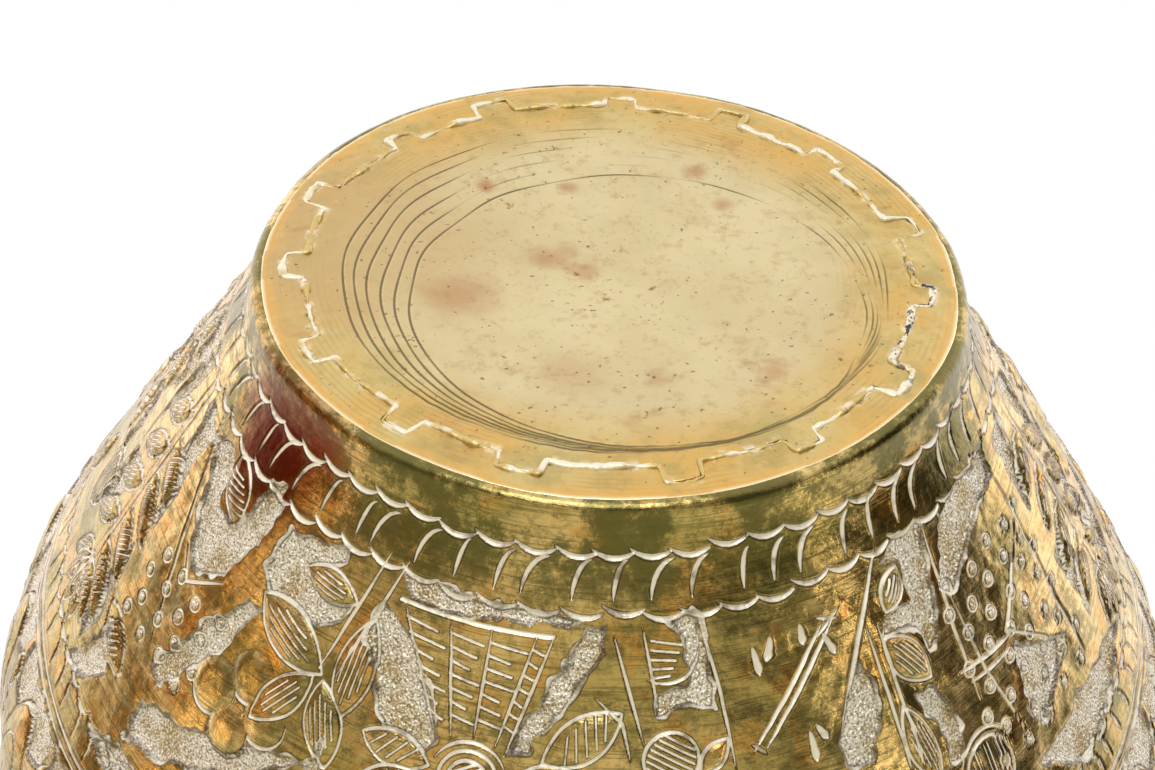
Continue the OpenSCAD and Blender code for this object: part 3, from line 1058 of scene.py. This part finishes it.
def brazed_line_tree():
    """Runs a rough bead of brazing metal along a line, thick and thin by turns"""
    tree = bpy.data.node_groups.new("Brazed line", "GeometryNodeTree")
    for name, side, kind in (
        ("Line", "INPUT", "Geometry"), ("Bead radius", "INPUT", "Float"),
        ("Unevenness", "INPUT", "Float"), ("Lump spacing", "INPUT", "Float"),
        ("Flatness", "INPUT", "Float"), ("Metal", "INPUT", "Material"), ("Bead", "OUTPUT", "Geometry"),
    ):
        tree.interface.new_socket(name=name, in_out=side, socket_type="NodeSocket" + kind)
    n, link = tree.nodes, tree.links.new
    source, out = n.new("NodeGroupInput"), n.new("NodeGroupOutput")

    def node(kind, **inputs):
        """A node with its inputs, named with _ for each space, linked or set"""
        made = n.new(kind)
        for name, value in inputs.items():
            socket = made.inputs[name.replace("_", " ")]
            if isinstance(value, bpy.types.NodeSocket):
                link(value, socket)
            else:
                socket.default_value = value
        return made

    given = source.outputs
    place = node("GeometryNodeInputPosition").outputs[0]
    per_metre = n.new("ShaderNodeMath")
    per_metre.operation = "DIVIDE"
    per_metre.inputs[0].default_value = 1.0
    link(given["Lump spacing"], per_metre.inputs[1])
    lumps = node("ShaderNodeTexNoise", Detail=2.0, Vector=place, Scale=per_metre.outputs[0])
    spread = node(
        "ShaderNodeMapRange", From_Min=0.32, From_Max=0.68, Value=lumps.outputs["Fac"],
        To_Max=given["Unevenness"], To_Min=0.45,
    ).outputs["Result"]
    line = node("GeometryNodeSetCurveRadius", Curve=given["Line"], Radius=spread)
    ring = node("GeometryNodeCurvePrimitiveCircle", Resolution=8, Radius=given["Bead radius"])
    stretch = node("ShaderNodeCombineXYZ", X=1.0, Z=1.0, Y=given["Flatness"])
    squash = node("GeometryNodeTransform", Geometry=ring.outputs["Curve"], Scale=stretch.outputs[0])
    sweep = node(
        "GeometryNodeCurveToMesh", Fill_Caps=True, Curve=line.outputs["Curve"],
        Profile_Curve=squash.outputs["Geometry"],
    )
    if "Scale" in sweep.inputs:
        link(spread, sweep.inputs["Scale"])
    real = node("GeometryNodeRealizeInstances", Geometry=sweep.outputs["Mesh"])
    metal = node("GeometryNodeSetMaterial", Geometry=real.outputs["Geometry"], Material=given["Metal"])
    link(metal.outputs["Geometry"], out.inputs["Bead"])
    return tree


def grow_mesh(source, tree, values):
    """Runs a tree on an object with its named inputs set, and returns the plain mesh object"""
    modifier = source.modifiers.new("Nodes", "NODES")
    modifier.node_group = tree
    for item in tree.interface.items_tree:
        if item.in_out == "INPUT" and item.name in values:
            modifier[item.identifier] = values[item.name]
    bpy.context.view_layer.update()
    graph = bpy.context.evaluated_depsgraph_get()
    mesh = bpy.data.meshes.new_from_object(source.evaluated_get(graph))
    source.modifiers.remove(modifier)
    name = source.name
    bpy.data.objects.remove(source)
    mesh.polygons.foreach_set("use_smooth", np.ones(len(mesh.polygons), bool))
    made = bpy.data.objects.new(name, mesh)
    bpy.context.scene.collection.objects.link(made)
    return made


# ---------------------------------------------------------------- materials


class Nodes:
    """A small helper that wires a shader tree about one kind of place"""

    def __init__(self, tree, place):
        self.tree = tree
        self.place = self.node("ShaderNodeTexCoord").outputs[place]

    def node(self, kind, values=(), **settings):
        """A node with its settings, and its inputs given as (name or number, value) pairs"""
        made = self.tree.nodes.new(kind)
        for name, value in settings.items():
            setattr(made, name, value)
        for name, value in values:
            self.join(value, made.inputs[name])
        return made

    def join(self, value, socket):
        if isinstance(value, bpy.types.NodeSocket):
            self.tree.links.new(value, socket)
        elif socket.type == "RGBA":
            socket.default_value = (*tuple(value)[:3], 1.0)
        else:
            socket.default_value = value

    def noise(self, scale, detail=3.0, rough=0.55, stretch=None, shift=(0, 0, 0)):
        place = self.place
        if stretch or any(shift):
            mapping = (("Scale", stretch or (1, 1, 1)), ("Location", shift), ("Vector", self.place))
            place = self.node("ShaderNodeMapping", mapping).outputs[0]
        values = (("Vector", place), ("Scale", scale), ("Detail", detail), ("Roughness", rough))
        return self.node("ShaderNodeTexNoise", values).outputs["Fac"]

    def span(self, value, low, high, to_low=0.0, to_high=1.0):
        """A smooth step from one level to another"""
        levels = (low, high, to_low, to_high)
        values = (("Value", value), *zip(("From Min", "From Max", "To Min", "To Max"), levels))
        made = self.node("ShaderNodeMapRange", values, interpolation_type="SMOOTHSTEP")
        return made.outputs["Result"]

    def math(self, operation, a, b):
        return self.node("ShaderNodeMath", ((0, a), (1, b)), operation=operation).outputs[0]

    def times(self, a, b):
        return self.math("MULTIPLY", a, b)

    def plus(self, a, b):
        return self.math("ADD", a, b)

    def minus(self, a, b):
        return self.math("SUBTRACT", a, b)

    def blend(self, share, a, b):
        """From one colour to another by a share"""
        values = (("Factor", share), (6, a), (7, b))
        return self.node("ShaderNodeMix", values, data_type="RGBA").outputs[2]

    def tint(self, colour, tone, value, low, high, share=1.0):
        """The colour with a tone laid over it where a value is high enough"""
        return self.blend(self.span(value, low, high, 0.0, share), colour, tone)


class Finish(Nodes):
    """One metal, with its patterns placed on the bowl"""

    def __init__(self, name):
        self.material = bpy.data.materials.new(name)
        self.material.use_nodes = True
        super().__init__(self.material.node_tree, "Object")
        self.shader = self.tree.nodes["Principled BSDF"]
        self.shader.inputs["Metallic"].default_value = 1.0

    def cells(self, scale):
        values = (("Vector", self.place), ("Scale", scale))
        return self.node("ShaderNodeTexVoronoi", values).outputs["Distance"]

    def away(self, centre):
        """Distance from a place, in metres"""
        made = self.node("ShaderNodeVectorMath", ((0, self.place), (1, centre)), operation="DISTANCE")
        return made.outputs["Value"]

    def spot(self, centre, core, reach):
        """1 within a core distance of a place, falling raggedly to 0"""
        ragged = self.times(self.minus(self.noise(90, 4.0, 0.6), 0.5), reach)
        return self.span(self.plus(self.away(centre), ragged), reach, core)

    def rings(self, scale):
        """Fine circles about the bowl's axis, as a lathe leaves them"""
        values = (
            ("Vector", self.place), ("Scale", scale),
            ("Distortion", 2.5), ("Detail", 2.0), ("Detail Scale", 0.15),
        )
        made = self.node("ShaderNodeTexWave", values, wave_type="RINGS", rings_direction="Z")
        return made.outputs["Fac"]

    def mask(self, name):
        return self.node("ShaderNodeAttribute", attribute_name=name).outputs["Fac"]

    def bump(self, height, distance, under=None, strength=1.0):
        values = [("Distance", distance), ("Strength", strength), ("Height", height)]
        if under is not None:
            values.append(("Normal", under))
        return self.node("ShaderNodeBump", values).outputs["Normal"]

    def use(self, colour, roughness, normal):
        self.join(colour, self.shader.inputs["Base Color"])
        self.join(roughness, self.shader.inputs["Roughness"])
        self.join(normal, self.shader.inputs["Normal"])
        return self.material


# Tones laid over the metals. Some are painted light: shade in the cove above the foot, glints on the
# matted grounds, highlights in the marks and along the heel's edge.
AMBER, UMBER, SHADOW = (0.82, 0.42, 0.11), (0.30, 0.25, 0.08), (0.20, 0.17, 0.06)
MOSS, COVE_SHADE, FLECK = (0.21, 0.19, 0.07), (0.15, 0.14, 0.045), (0.13, 0.13, 0.05)
TARNISH, GROUND_LOW, GROUND_PIT = (0.15, 0.018, 0.006), (0.66, 0.54, 0.30), (0.22, 0.16, 0.08)
PAINTED_GLINT, POLISH_AND_HIGHLIGHT, INSIDE_DARK = (1.0, 1.0, 0.97), (0.97, 0.94, 0.84), (0.42, 0.30, 0.13)
INSIDE_LIGHT, KHAKI, GOLD_WARM = (0.66, 0.50, 0.24), (0.70, 0.605, 0.36), (0.67, 0.44, 0.14)
GOLD_DULL, RING_DARK, BASE_FINE = (0.64, 0.50, 0.21), (0.42, 0.31, 0.13), (0.44, 0.32, 0.13)
BASE_OLIVE, TAN, RUST = (0.42, 0.34, 0.13), (0.56, 0.41, 0.20), (0.30, 0.13, 0.06)
PIT, HEEL_WARM, HEEL_WEAR_AND_HIGHLIGHT = (0.16, 0.10, 0.05), (0.82, 0.46, 0.12), (1.0, 0.90, 0.62)
GROOVE_DARK, SPELTER_DARK, SPELTER_PIT = (0.13, 0.105, 0.05), (0.40, 0.28, 0.12), (0.05, 0.05, 0.07)
WIRE_DARK, WIRE_LIGHT = (0.30, 0.27, 0.24), (0.46, 0.44, 0.41)


def chased_brass():
    """Polished and darkened brass, matted grounds, pale marks with dark edges. The marks' pale cores and
    dark edges are partly painted highlight and painted shade, the white specks on the grounds are
    painted glints, and the cove above the foot has painted shade.
    """
    c = finish_colours()
    f = Finish("chased_brass")
    fields = f.noise(21, 3.0, 0.55)
    patches = f.noise(75, 4.0, 0.62, shift=(0.5, 0.2, 0.9))
    fine = f.noise(420, 5.0, 0.7)
    moss = f.noise(62, 9.0, 0.78, shift=(0.2, 0.7, 0.3))
    lines = f.noise(38, 5.0, 0.75, stretch=(1.0, 1.0, 34.0))
    colour = f.blend(f.span(fields, 0.40, 0.60), c.olive, c.polished)
    colour = f.tint(colour, AMBER, patches, 0.49, 0.64, 0.7)
    colour = f.tint(colour, UMBER, fine, 0.46, 0.64, 0.5)
    colour = f.tint(colour, SHADOW, lines, 0.50, 0.60, 0.62)
    flecks = f.noise(230, 6.0, 0.8, shift=(0.4, 0.6, 0.2), stretch=(1.0, 1.0, 1.6))
    colour = f.tint(colour, MOSS, moss, 0.49, 0.60, 0.74)
    # Painted shade: the hollow cove just above the foot is darkened, in patches that follow the moss
    # noise.
    cove_shade = f.times(f.span(f.away((0, 0, 0)), 0.0975, 0.0835), f.span(moss, 0.43, 0.53, 0.08, 0.86))
    colour = f.blend(cove_shade, colour, COVE_SHADE)
    colour = f.tint(colour, FLECK, flecks, 0.55, 0.66, 0.6)
    tarnish = f.times(f.spot((0.070, -0.054, 0.011), 0.006, 0.028), 0.97)
    colour = f.blend(tarnish, colour, TARNISH)
    matte, mark, inner = f.mask("matte"), f.mask("mark"), f.mask("inner")
    speck = f.noise(1900, 2.0, 0.6)
    field = f.noise(120, 3.0, 0.6, shift=(0.3, 0.8, 0.1))
    ground = f.blend(f.span(field, 0.34, 0.56), GROUND_LOW, c.ground)
    ground = f.tint(ground, GROUND_PIT, speck, 0.52, 0.40, 0.72)
    # Painted glints: white specks on the matted ground.
    ground = f.tint(ground, PAINTED_GLINT, speck, 0.55, 0.62)
    colour = f.blend(matte, colour, ground)
    worn = f.noise(160, 3.0, 0.7, shift=(0.9, 0.3, 0.5))
    # At the marks: dark edges that are wax and painted shade, and pale cores that are polish and painted
    # highlight, both broken up by wear.
    dark = f.times(f.span(mark, 0.02, 0.34), f.span(worn, 0.34, 0.56, 0.3, 0.75))
    colour = f.blend(dark, colour, c.dirt_and_shade)
    white = f.times(f.span(mark, 0.50, 0.86), f.span(worn, 0.68, 0.50, 0.45, 1.0))
    colour = f.blend(white, colour, POLISH_AND_HIGHLIGHT)
    inside = f.blend(f.span(fine, 0.35, 0.7), INSIDE_DARK, INSIDE_LIGHT)
    colour = f.blend(inner, colour, inside)
    rough = f.span(patches, 0.3, 0.7, 0.24, 0.13)
    rough = f.plus(rough, f.times(matte, 0.24))
    rough = f.plus(rough, f.times(inner, 0.20))
    rough = f.plus(rough, f.times(white, 0.25))
    chalk = f.math("MINIMUM", f.plus(f.times(white, 0.7), f.times(matte, 0.45)), 0.8)
    f.join(f.minus(1.0, chalk), f.shader.inputs["Metallic"])
    normal = f.bump(lines, 0.00014, strength=0.6)
    normal = f.bump(f.noise(150, 3.0, 0.6), 0.00035, normal, 0.6)
    normal = f.bump(f.times(f.cells(1500), matte), 0.00042, normal, 0.9)
    normal = f.bump(f.noise(520, 4.0, 0.65), 0.00015, normal, 0.6)
    return f.use(colour, rough, normal)


# Stains on the base disc: place, core and reach in millimetres, and strength
STAINS = (
    (32, -13, 1.5, 13, 0.5), (15, 3, 1.0, 6.5, 0.6), (10, 7, 0.5, 5, 0.5), (11, 32, 0.5, 4, 0.7),
    (-19, 41, 0.6, 5, 0.75), (-26, 28, 0.4, 4, 0.6), (6, -38, 1.0, 12, 0.3), (30, 30, 0.4, 3.5, 0.6),
)


def satin_base_brass():
    """The turned base: satin khaki brass with stains, pits and dirty seams, and a painted highlight
    along the heel's edge
    """
    c = finish_colours()
    f = Finish("satin_base_brass")
    clouds = f.noise(30, 4.0, 0.6)
    fine = f.noise(330, 5.0, 0.7)
    colour = f.blend(f.span(clouds, 0.38, 0.64), c.base, KHAKI)
    golden = f.span(f.away((0, 0, 0)), 0.046, 0.066)
    gold = f.blend(f.span(clouds, 0.40, 0.60), GOLD_WARM, GOLD_DULL)
    colour = f.blend(golden, colour, gold)
    rings = f.rings(230)
    worn = f.times(f.span(rings, 0.55, 0.95), f.span(f.noise(45, 2.0, 0.5), 0.48, 0.62, 0.0, 0.4))
    colour = f.blend(f.times(worn, golden), colour, RING_DARK)
    colour = f.tint(colour, BASE_FINE, fine, 0.50, 0.70, 0.5)
    olive = f.noise(64, 5.0, 0.65, shift=(0.9, 0.4, 0.2))
    colour = f.blend(f.times(f.span(olive, 0.48, 0.64, 0.0, 0.62), golden), colour, BASE_OLIVE)
    tan = f.span(f.away((0.060, 0.004, 0.0)), 0.052, 0.012, 0.0, 0.75)
    colour = f.blend(tan, colour, TAN)
    smudge = f.noise(52, 5.0, 0.62, shift=(0.31, 0.12, 0.0))
    colour = f.tint(colour, c.stain, smudge, 0.58, 0.72, 0.4)
    for x, y, core, reach, share in STAINS:
        stain = f.spot((x * MM, y * MM, 0.0), core * MM, reach * MM)
        colour = f.blend(f.times(stain, share), colour, c.stain)
    spots = f.noise(150, 6.0, 0.72, shift=(0.7, 0.2, 0.1))
    colour = f.tint(colour, RUST, spots, 0.64, 0.70, 0.8)
    pits = f.noise(700, 1.0, 0.5, shift=(0.2, 0.6, 0.0))
    colour = f.tint(colour, PIT, pits, 0.70, 0.76, 0.7)
    rim = f.mask("rim")
    colour = f.tint(colour, HEEL_WARM, rim, 0.60, 0.85, 0.45)
    # A pale band at the very edge by the heel: wear, and a painted highlight.
    colour = f.tint(colour, HEEL_WEAR_AND_HIGHLIGHT, rim, 0.88, 1.0, 0.85)
    seam = f.mask("seam")
    chalk = f.noise(210, 4.0, 0.7, shift=(0.2, 0.9, 0.3))
    white = f.times(seam, f.span(chalk, 0.50, 0.58, 0.0, 0.95))
    colour = f.blend(white, colour, c.spelter)
    colour = f.blend(f.times(seam, f.span(chalk, 0.40, 0.32, 0.0, 0.9)), colour, c.dirt_and_shade)
    groove = f.mask("groove")
    # Darkens the lathe grooves, more on one side of the disc than the other.
    colour = f.tint(colour, GROOVE_DARK, groove, 0.25, 0.75, 0.85)
    rough = f.span(clouds, 0.3, 0.7, 0.40, 0.30)
    rough = f.plus(rough, f.times(f.span(rim, 0.6, 1.0), -0.1))
    rough = f.plus(rough, f.span(smudge, 0.6, 0.75, 0.0, 0.12))
    f.join(f.minus(1.0, f.times(white, 0.5)), f.shader.inputs["Metallic"])
    smear = f.noise(60, 4.0, 0.7, stretch=(1.0, 7.0, 1.0))
    normal = f.bump(smear, 0.00022, strength=0.5)
    normal = f.bump(f.noise(120, 4.0, 0.6), 0.00060, normal, 0.6)
    normal = f.bump(f.noise(700, 3.0, 0.6), 0.00007, normal, 0.6)
    normal = f.bump(f.span(spots, 0.62, 0.72), 0.00018, normal, -0.7)
    return f.use(colour, rough, normal)


def spelter_metal():
    """Pale brazing metal with chalky polish left in it and dark pits"""
    c = finish_colours()
    f = Finish("spelter")
    lumps = f.noise(330, 4.0, 0.7)
    patches = f.noise(70, 2.0, 0.5, shift=(0.4, 0.1, 0.6))
    colour = f.blend(f.span(patches, 0.47, 0.54), GOLD_DULL, c.spelter)
    colour = f.tint(colour, SPELTER_DARK, lumps, 0.60, 0.68, 0.7)
    pits = f.times(f.span(lumps, 0.50, 0.42), f.spot((-0.068, -0.012, 0.0), 0.012, 0.036))
    colour = f.blend(pits, colour, SPELTER_PIT)
    f.join(f.span(patches, 0.47, 0.54, 1.0, 0.5), f.shader.inputs["Metallic"])
    rough = f.span(lumps, 0.3, 0.7, 0.55, 0.38)
    normal = f.bump(lumps, 0.00030, strength=0.8)
    return f.use(colour, rough, normal)


def drawn_wire():
    """The grey wire inside the rolled rim"""
    f = Finish("drawn_wire")
    streaks = f.noise(140, 3.0, 0.6)
    colour = f.blend(f.span(streaks, 0.4, 0.65), WIRE_DARK, WIRE_LIGHT)
    normal = f.bump(f.noise(600, 2.0, 0.5), 0.00005, strength=0.5)
    return f.use(colour, f.span(streaks, 0.3, 0.7, 0.5, 0.35), normal)


MAKERS = {
    "chased": chased_brass, "base": satin_base_brass, "spelter": spelter_metal, "wire": drawn_wire,
}
METALS = {}


def metal(name):
    """A metal by name, made when it is first asked for"""
    if name not in METALS:
        METALS[name] = MAKERS[name]()
    return METALS[name]


def dress(piece, metal_name):
    """Gives a piece its metal and its place on the bowl's one body"""
    piece.data.materials.clear()
    piece.data.materials.append(metal(metal_name))
    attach(piece, "root")


# ---------------------------------------------------------------- operators


class BOWL_OT_wall(bpy.types.Operator):
    """Chases the picture into the wall and builds the wall in closed pieces"""

    bl_idname = "bowl.wall"
    bl_label = "Chased wall"

    # Cuts between the pieces: degrees either side of the front, and mm up the sheet
    FRONT, QUARTER, MIDDLE = 64.0, 31.0, 0.5
    SPLIT_UP = 75.0
    SIXTH = 60.0
    # Grid steps in mm, at the front and elsewhere
    STEPS, QUICK_STEPS = (0.26, 0.74), (0.36, 1.0)

    def execute(self, context):
        section = Section(sizes())
        relief = chase_wall(section)
        fine, plain = self.STEPS
        lower, upper = (0.0, self.SPLIT_UP), (self.SPLIT_UP, section.end)
        cuts = (-self.FRONT, -self.QUARTER, self.MIDDLE, self.QUARTER, self.FRONT)
        parts = [(turns, lower, fine) for turns in zip(cuts, cuts[1:])]
        parts += [((self.FRONT, 180.0), lower, plain), ((-180.0, -self.FRONT), lower, plain)]
        parts += [((a, a + self.SIXTH), upper, plain) for a in np.arange(-180.0, 180.0, self.SIXTH)]
        for k, (turns, spans, step) in enumerate(parts, 1):
            piece = wall_panel(f"wall_chased_{k:02d}", section, relief, turns, spans, step)
            dress(piece, "chased")
            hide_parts("wall")
        return {"FINISHED"}


class BOWL_OT_foot(bpy.types.Operator):
    """Builds the flat foot flange, which is part of the wall's sheet"""

    bl_idname = "bowl.foot"
    bl_label = "Foot flange"

    def execute(self, context):
        b = sizes()
        piece = foot_flange(b, Section(b))
        dress(piece, "base")
        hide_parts("wall")
        return {"FINISHED"}


class BOWL_OT_disc(bpy.types.Operator):
    """Builds the turned base disc with its tabs"""

    bl_idname = "bowl.disc"
    bl_label = "Base disc"

    def execute(self, context):
        piece = turned_disc(sizes())
        dress(piece, "base")
        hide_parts("base_disc")
        return {"FINISHED"}


class BOWL_OT_base_seam(bpy.types.Operator):
    """Runs the brazing metal round the base disc and its tabs"""

    bl_idname = "bowl.base_seam"
    bl_label = "Base seam"

    POINTS, STEP_DEG = 2400, 0.15

    def execute(self, context):
        b = sizes()
        turn = np.arange(self.POINTS) * self.STEP_DEG
        r = tab_outline(b, turn, 0.3)
        a = np.radians(turn - 90)
        low = polar(r, turn, 0.24 + 0.34 * np.sin(a * 41) * np.sin(a * 17 + 1))
        high = polar(r, turn, np.full(r.shape, b.sheet))
        line = line_object("base_braze", [(low, True), (high, True)])
        piece = grow_mesh(line, brazed_line_tree(), {
            "Bead radius": 0.66 * MM, "Unevenness": 2.0, "Lump spacing": 0.006, "Flatness": 0.8,
            "Metal": metal("spelter"),
        })
        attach(piece, "root")
        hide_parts("base_seam")
        return {"FINISHED"}


class BOWL_OT_side_seam(bpy.types.Operator):
    """Runs the stepped line of the wall's side seam, outside and inside"""

    bl_idname = "bowl.side_seam"
    bl_label = "Side seam"

    ABOVE_HEEL, STEP = 3.6, 0.5

    def execute(self, context):
        b = sizes()
        section = Section(b)
        paths = []
        for depth in (0.0, b.sheet):
            s = np.arange(self.ABOVE_HEEL, section.rim_s, self.STEP)
            r, z = section.at(s)[:2]
            side = smooth_step(((z / b.side_pitch + 0.5) % 2 > 1) * 1.0) * 2 - 1
            soft = np.convolve(np.pad(side, 2, "edge"), np.ones(5) / 5, "valid")
            turn = b.side_at + 90 - FULL_TURN + np.degrees(soft * b.side_step / r)
            paths.append((wall_points(section, turn, s, 0.0, depth), False))
        line = line_object("side_braze", paths)
        piece = grow_mesh(line, brazed_line_tree(), {
            "Bead radius": 0.42 * MM, "Unevenness": 1.2, "Lump spacing": 0.008, "Flatness": 1.0,
            "Metal": metal("spelter"),
        })
        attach(piece, "root")
        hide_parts("side_seam")
        return {"FINISHED"}


class BOWL_OT_wire(bpy.types.Operator):
    """Gives the rim's wire its metal"""

    bl_idname = "bowl.wire"
    bl_label = "Rim wire"

    def execute(self, context):
        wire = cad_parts["rim_wire"]
        wire.data.materials.clear()
        wire.data.materials.append(metal("wire"))
        return {"FINISHED"}


# Surroundings seen in the metal: the white sweep, the dim room in front and the warm table
SWEEP, SWEEP_DIM, OVERHEAD = (1.12, 1.08, 1.03), (1.0, 0.92, 0.84), (0.45, 0.43, 0.40)
ROOM, ROOM_WARM, TABLE = (0.07, 0.07, 0.055), (0.72, 0.57, 0.36), (0.64, 0.59, 0.41)
FLANK_RIGHT, FLANK_LEFT, GLOW = (0.07, 0.055, 0.03), (0.40, 0.23, 0.10), (1.62, 1.48, 1.42)
WHITE = (1, 1, 1)

# Lamps: name, place, size, power and tint
LAMPS = (
    ("soft_under", (0.1, -0.40, -1.2), (0.8, 0.8), 6.5, WHITE),
    ("soft_top", (-0.9, -0.7, 1.6), (1.2, 1.2), 5.0, WHITE),
    ("strip_right", (-1.42, -0.66, 0.10), (0.045, 1.0), 1.0, (1, 0.88, 0.6)),
    ("strip_left", (1.50, -0.42, 0.16), (0.06, 0.8), 0.7, (1, 0.72, 0.36)),
)


class BOWL_OT_stage(bpy.types.Operator):
    """Sets the floor, the studio light, the surroundings and the camera"""

    bl_idname = "bowl.stage"
    bl_label = "Stage"

    FLOOR_RADIUS, FLOOR_DROP = 6.0, 0.0005
    # The bowl is seen from below its foot: lens in mm, distance in mm, and angles in radians
    LENS, SENSOR = 62.34, 36.0
    DISTANCE = 5.606 * 80.0
    ELEVATION, ROLL = 0.624, -0.056
    AIM_X, AIM_Y, FOCAL = 24.7, 122.1, 2000.0

    def execute(self, context):
        self.floor()
        self.surroundings()
        self.lamps()
        self.camera()
        context.scene.view_settings.view_transform = "Standard"
        return {"FINISHED"}

    def floor(self):
        """A pale floor that is clear from below, where the camera is"""
        bpy.ops.mesh.primitive_circle_add(
            vertices=96, radius=self.FLOOR_RADIUS, fill_type="NGON", location=(0, 0, -self.FLOOR_DROP)
        )
        floor = bpy.context.object
        floor.name = "floor"
        surface = bpy.data.materials.new("pale_floor")
        surface.use_nodes = True
        tree = surface.node_tree
        paint = tree.nodes["Principled BSDF"]
        paint.inputs["Base Color"].default_value = (0.86, 0.86, 0.86, 1)
        paint.inputs["Roughness"].default_value = 0.7
        paint.inputs["Specular IOR Level"].default_value = 0.2
        clear = tree.nodes.new("ShaderNodeBsdfTransparent")
        choose = tree.nodes.new("ShaderNodeMixShader")
        facing = tree.nodes.new("ShaderNodeNewGeometry")
        tree.links.new(facing.outputs["Backfacing"], choose.inputs["Fac"])
        tree.links.new(paint.outputs[0], choose.inputs[1])
        tree.links.new(clear.outputs[0], choose.inputs[2])
        tree.links.new(choose.outputs[0], tree.nodes["Material Output"].inputs["Surface"])
        floor.data.materials.append(surface)
        floor.visible_shadow = False
        floor.visible_diffuse = False
        floor.visible_glossy = False

    def surroundings(self):
        """A white sweep all round, with the dim room behind the camera"""
        world = bpy.data.worlds.new("white_sweep")
        bpy.context.scene.world = world
        world.use_nodes = True
        w = Nodes(world.node_tree, "Generated")

        def patch(centre, edge, core):
            """1 near a direction and 0 away from it, between two cosines"""
            values = ((0, w.place), (1, Vector(centre).normalized()))
            made = w.node("ShaderNodeVectorMath", values, operation="DOT_PRODUCT")
            return w.span(made.outputs["Value"], edge, core)

        light = w.blend(patch((0, 0.95, -0.3), 0.1, 0.95), SWEEP_DIM, SWEEP)
        light = w.blend(patch((0, -0.3, 0.95), 0.5, 0.98), light, OVERHEAD)
        room = w.blend(w.span(w.noise(2.6, 2.0, 0.5), 0.44, 0.62), ROOM, ROOM_WARM)
        light = w.blend(patch((0, -1.0, -0.12), 0.08, 0.55), light, room)
        light = w.blend(patch((0, -0.85, 0.5), 0.25, 0.7), light, TABLE)
        for side, tone in ((-1, FLANK_RIGHT), (1, FLANK_LEFT)):
            light = w.blend(patch((0.96 * side, 0.02, -0.18), 0.86, 0.95), light, tone)
            light = w.blend(patch((0.6912 * side, 0.73, -0.05), 0.80, 0.95), light, GLOW)
        camera_ray = w.node("ShaderNodeLightPath").outputs["Is Camera Ray"]
        w.join(w.blend(camera_ray, light, WHITE), w.tree.nodes["Background"].inputs["Color"])

    def lamps(self):
        """Soft boxes, and two narrow ones that streak the flanks"""
        for name, place, size, power, tint in LAMPS:
            light = bpy.data.lights.new(name, "AREA")
            light.shape = "RECTANGLE"
            light.size, light.size_y = size
            light.energy = power
            light.color = tint
            lamp = bpy.data.objects.new(name, light)
            lamp.location = place
            lamp.visible_camera = False
            lamp.rotation_mode = "QUATERNION"
            lamp.rotation_quaternion = (Vector((0, 0, 0.05)) - Vector(place)).to_track_quat("-Z", "Y")
            bpy.context.scene.collection.objects.link(lamp)

    def camera(self):
        """Looks up at the foot from the front, upside down, so the foot is at the top"""
        data = bpy.data.cameras.new("view")
        data.lens = self.LENS
        data.sensor_width = self.SENSOR
        camera = bpy.data.objects.new("view", data)
        bpy.context.scene.collection.objects.link(camera)
        bpy.context.scene.camera = camera
        e = self.ELEVATION
        back = Vector((0, -math.cos(e), -math.sin(e)))
        still = Matrix(((-1, 0, 0), (0, math.sin(e), -math.cos(e)), tuple(-back)))
        aim = Matrix.Rotation(math.atan2(self.AIM_X, self.FOCAL), 3, "Y")
        tilt = Matrix.Rotation(-math.atan2(self.AIM_Y, self.FOCAL), 3, "X")
        roll = Matrix.Rotation(self.ROLL, 3, "Z")
        rows = roll @ tilt @ aim @ still
        axes = Matrix((rows[0], rows[1], -rows[2])).transposed()
        camera.matrix_world = Matrix.Translation(back * self.DISTANCE * MM) @ axes.to_4x4()


class BOWL_PT_panel(bpy.types.Panel):
    """Lists the bowl's pieces"""

    bl_idname = "BOWL_PT_panel"
    bl_label = "Brass Bowl"
    bl_space_type = "VIEW_3D"
    bl_region_type = "UI"
    bl_category = "Brass Bowl"

    def draw(self, context):
        for operator in OPERATORS:
            self.layout.operator(operator.bl_idname)
        for group in (context.scene.bowl_sizes, context.scene.bowl_finish):
            box = self.layout.box()
            for key in group.__annotations__:
                box.prop(group, key)


OPERATORS = (
    BOWL_OT_wall, BOWL_OT_foot, BOWL_OT_disc, BOWL_OT_base_seam, BOWL_OT_side_seam, BOWL_OT_wire,
    BOWL_OT_stage,
)
CLASSES = (BowlSizes, BowlFinish, *OPERATORS, BOWL_PT_panel)


def register():
    for item in CLASSES:
        bpy.utils.register_class(item)
    bpy.types.Scene.bowl_sizes = PointerProperty(type=BowlSizes)
    bpy.types.Scene.bowl_finish = PointerProperty(type=BowlFinish)


def unregister():
    del bpy.types.Scene.bowl_finish
    del bpy.types.Scene.bowl_sizes
    for item in reversed(CLASSES):
        bpy.utils.unregister_class(item)


def main():
    register()
    bpy.ops.bowl.wall()
    bpy.ops.bowl.foot()
    bpy.ops.bowl.disc()
    bpy.ops.bowl.base_seam()
    bpy.ops.bowl.side_seam()
    bpy.ops.bowl.wire()
    bpy.ops.bowl.stage()
    bpy.context.view_layer.update()


if __name__ == "__main__":
    main()
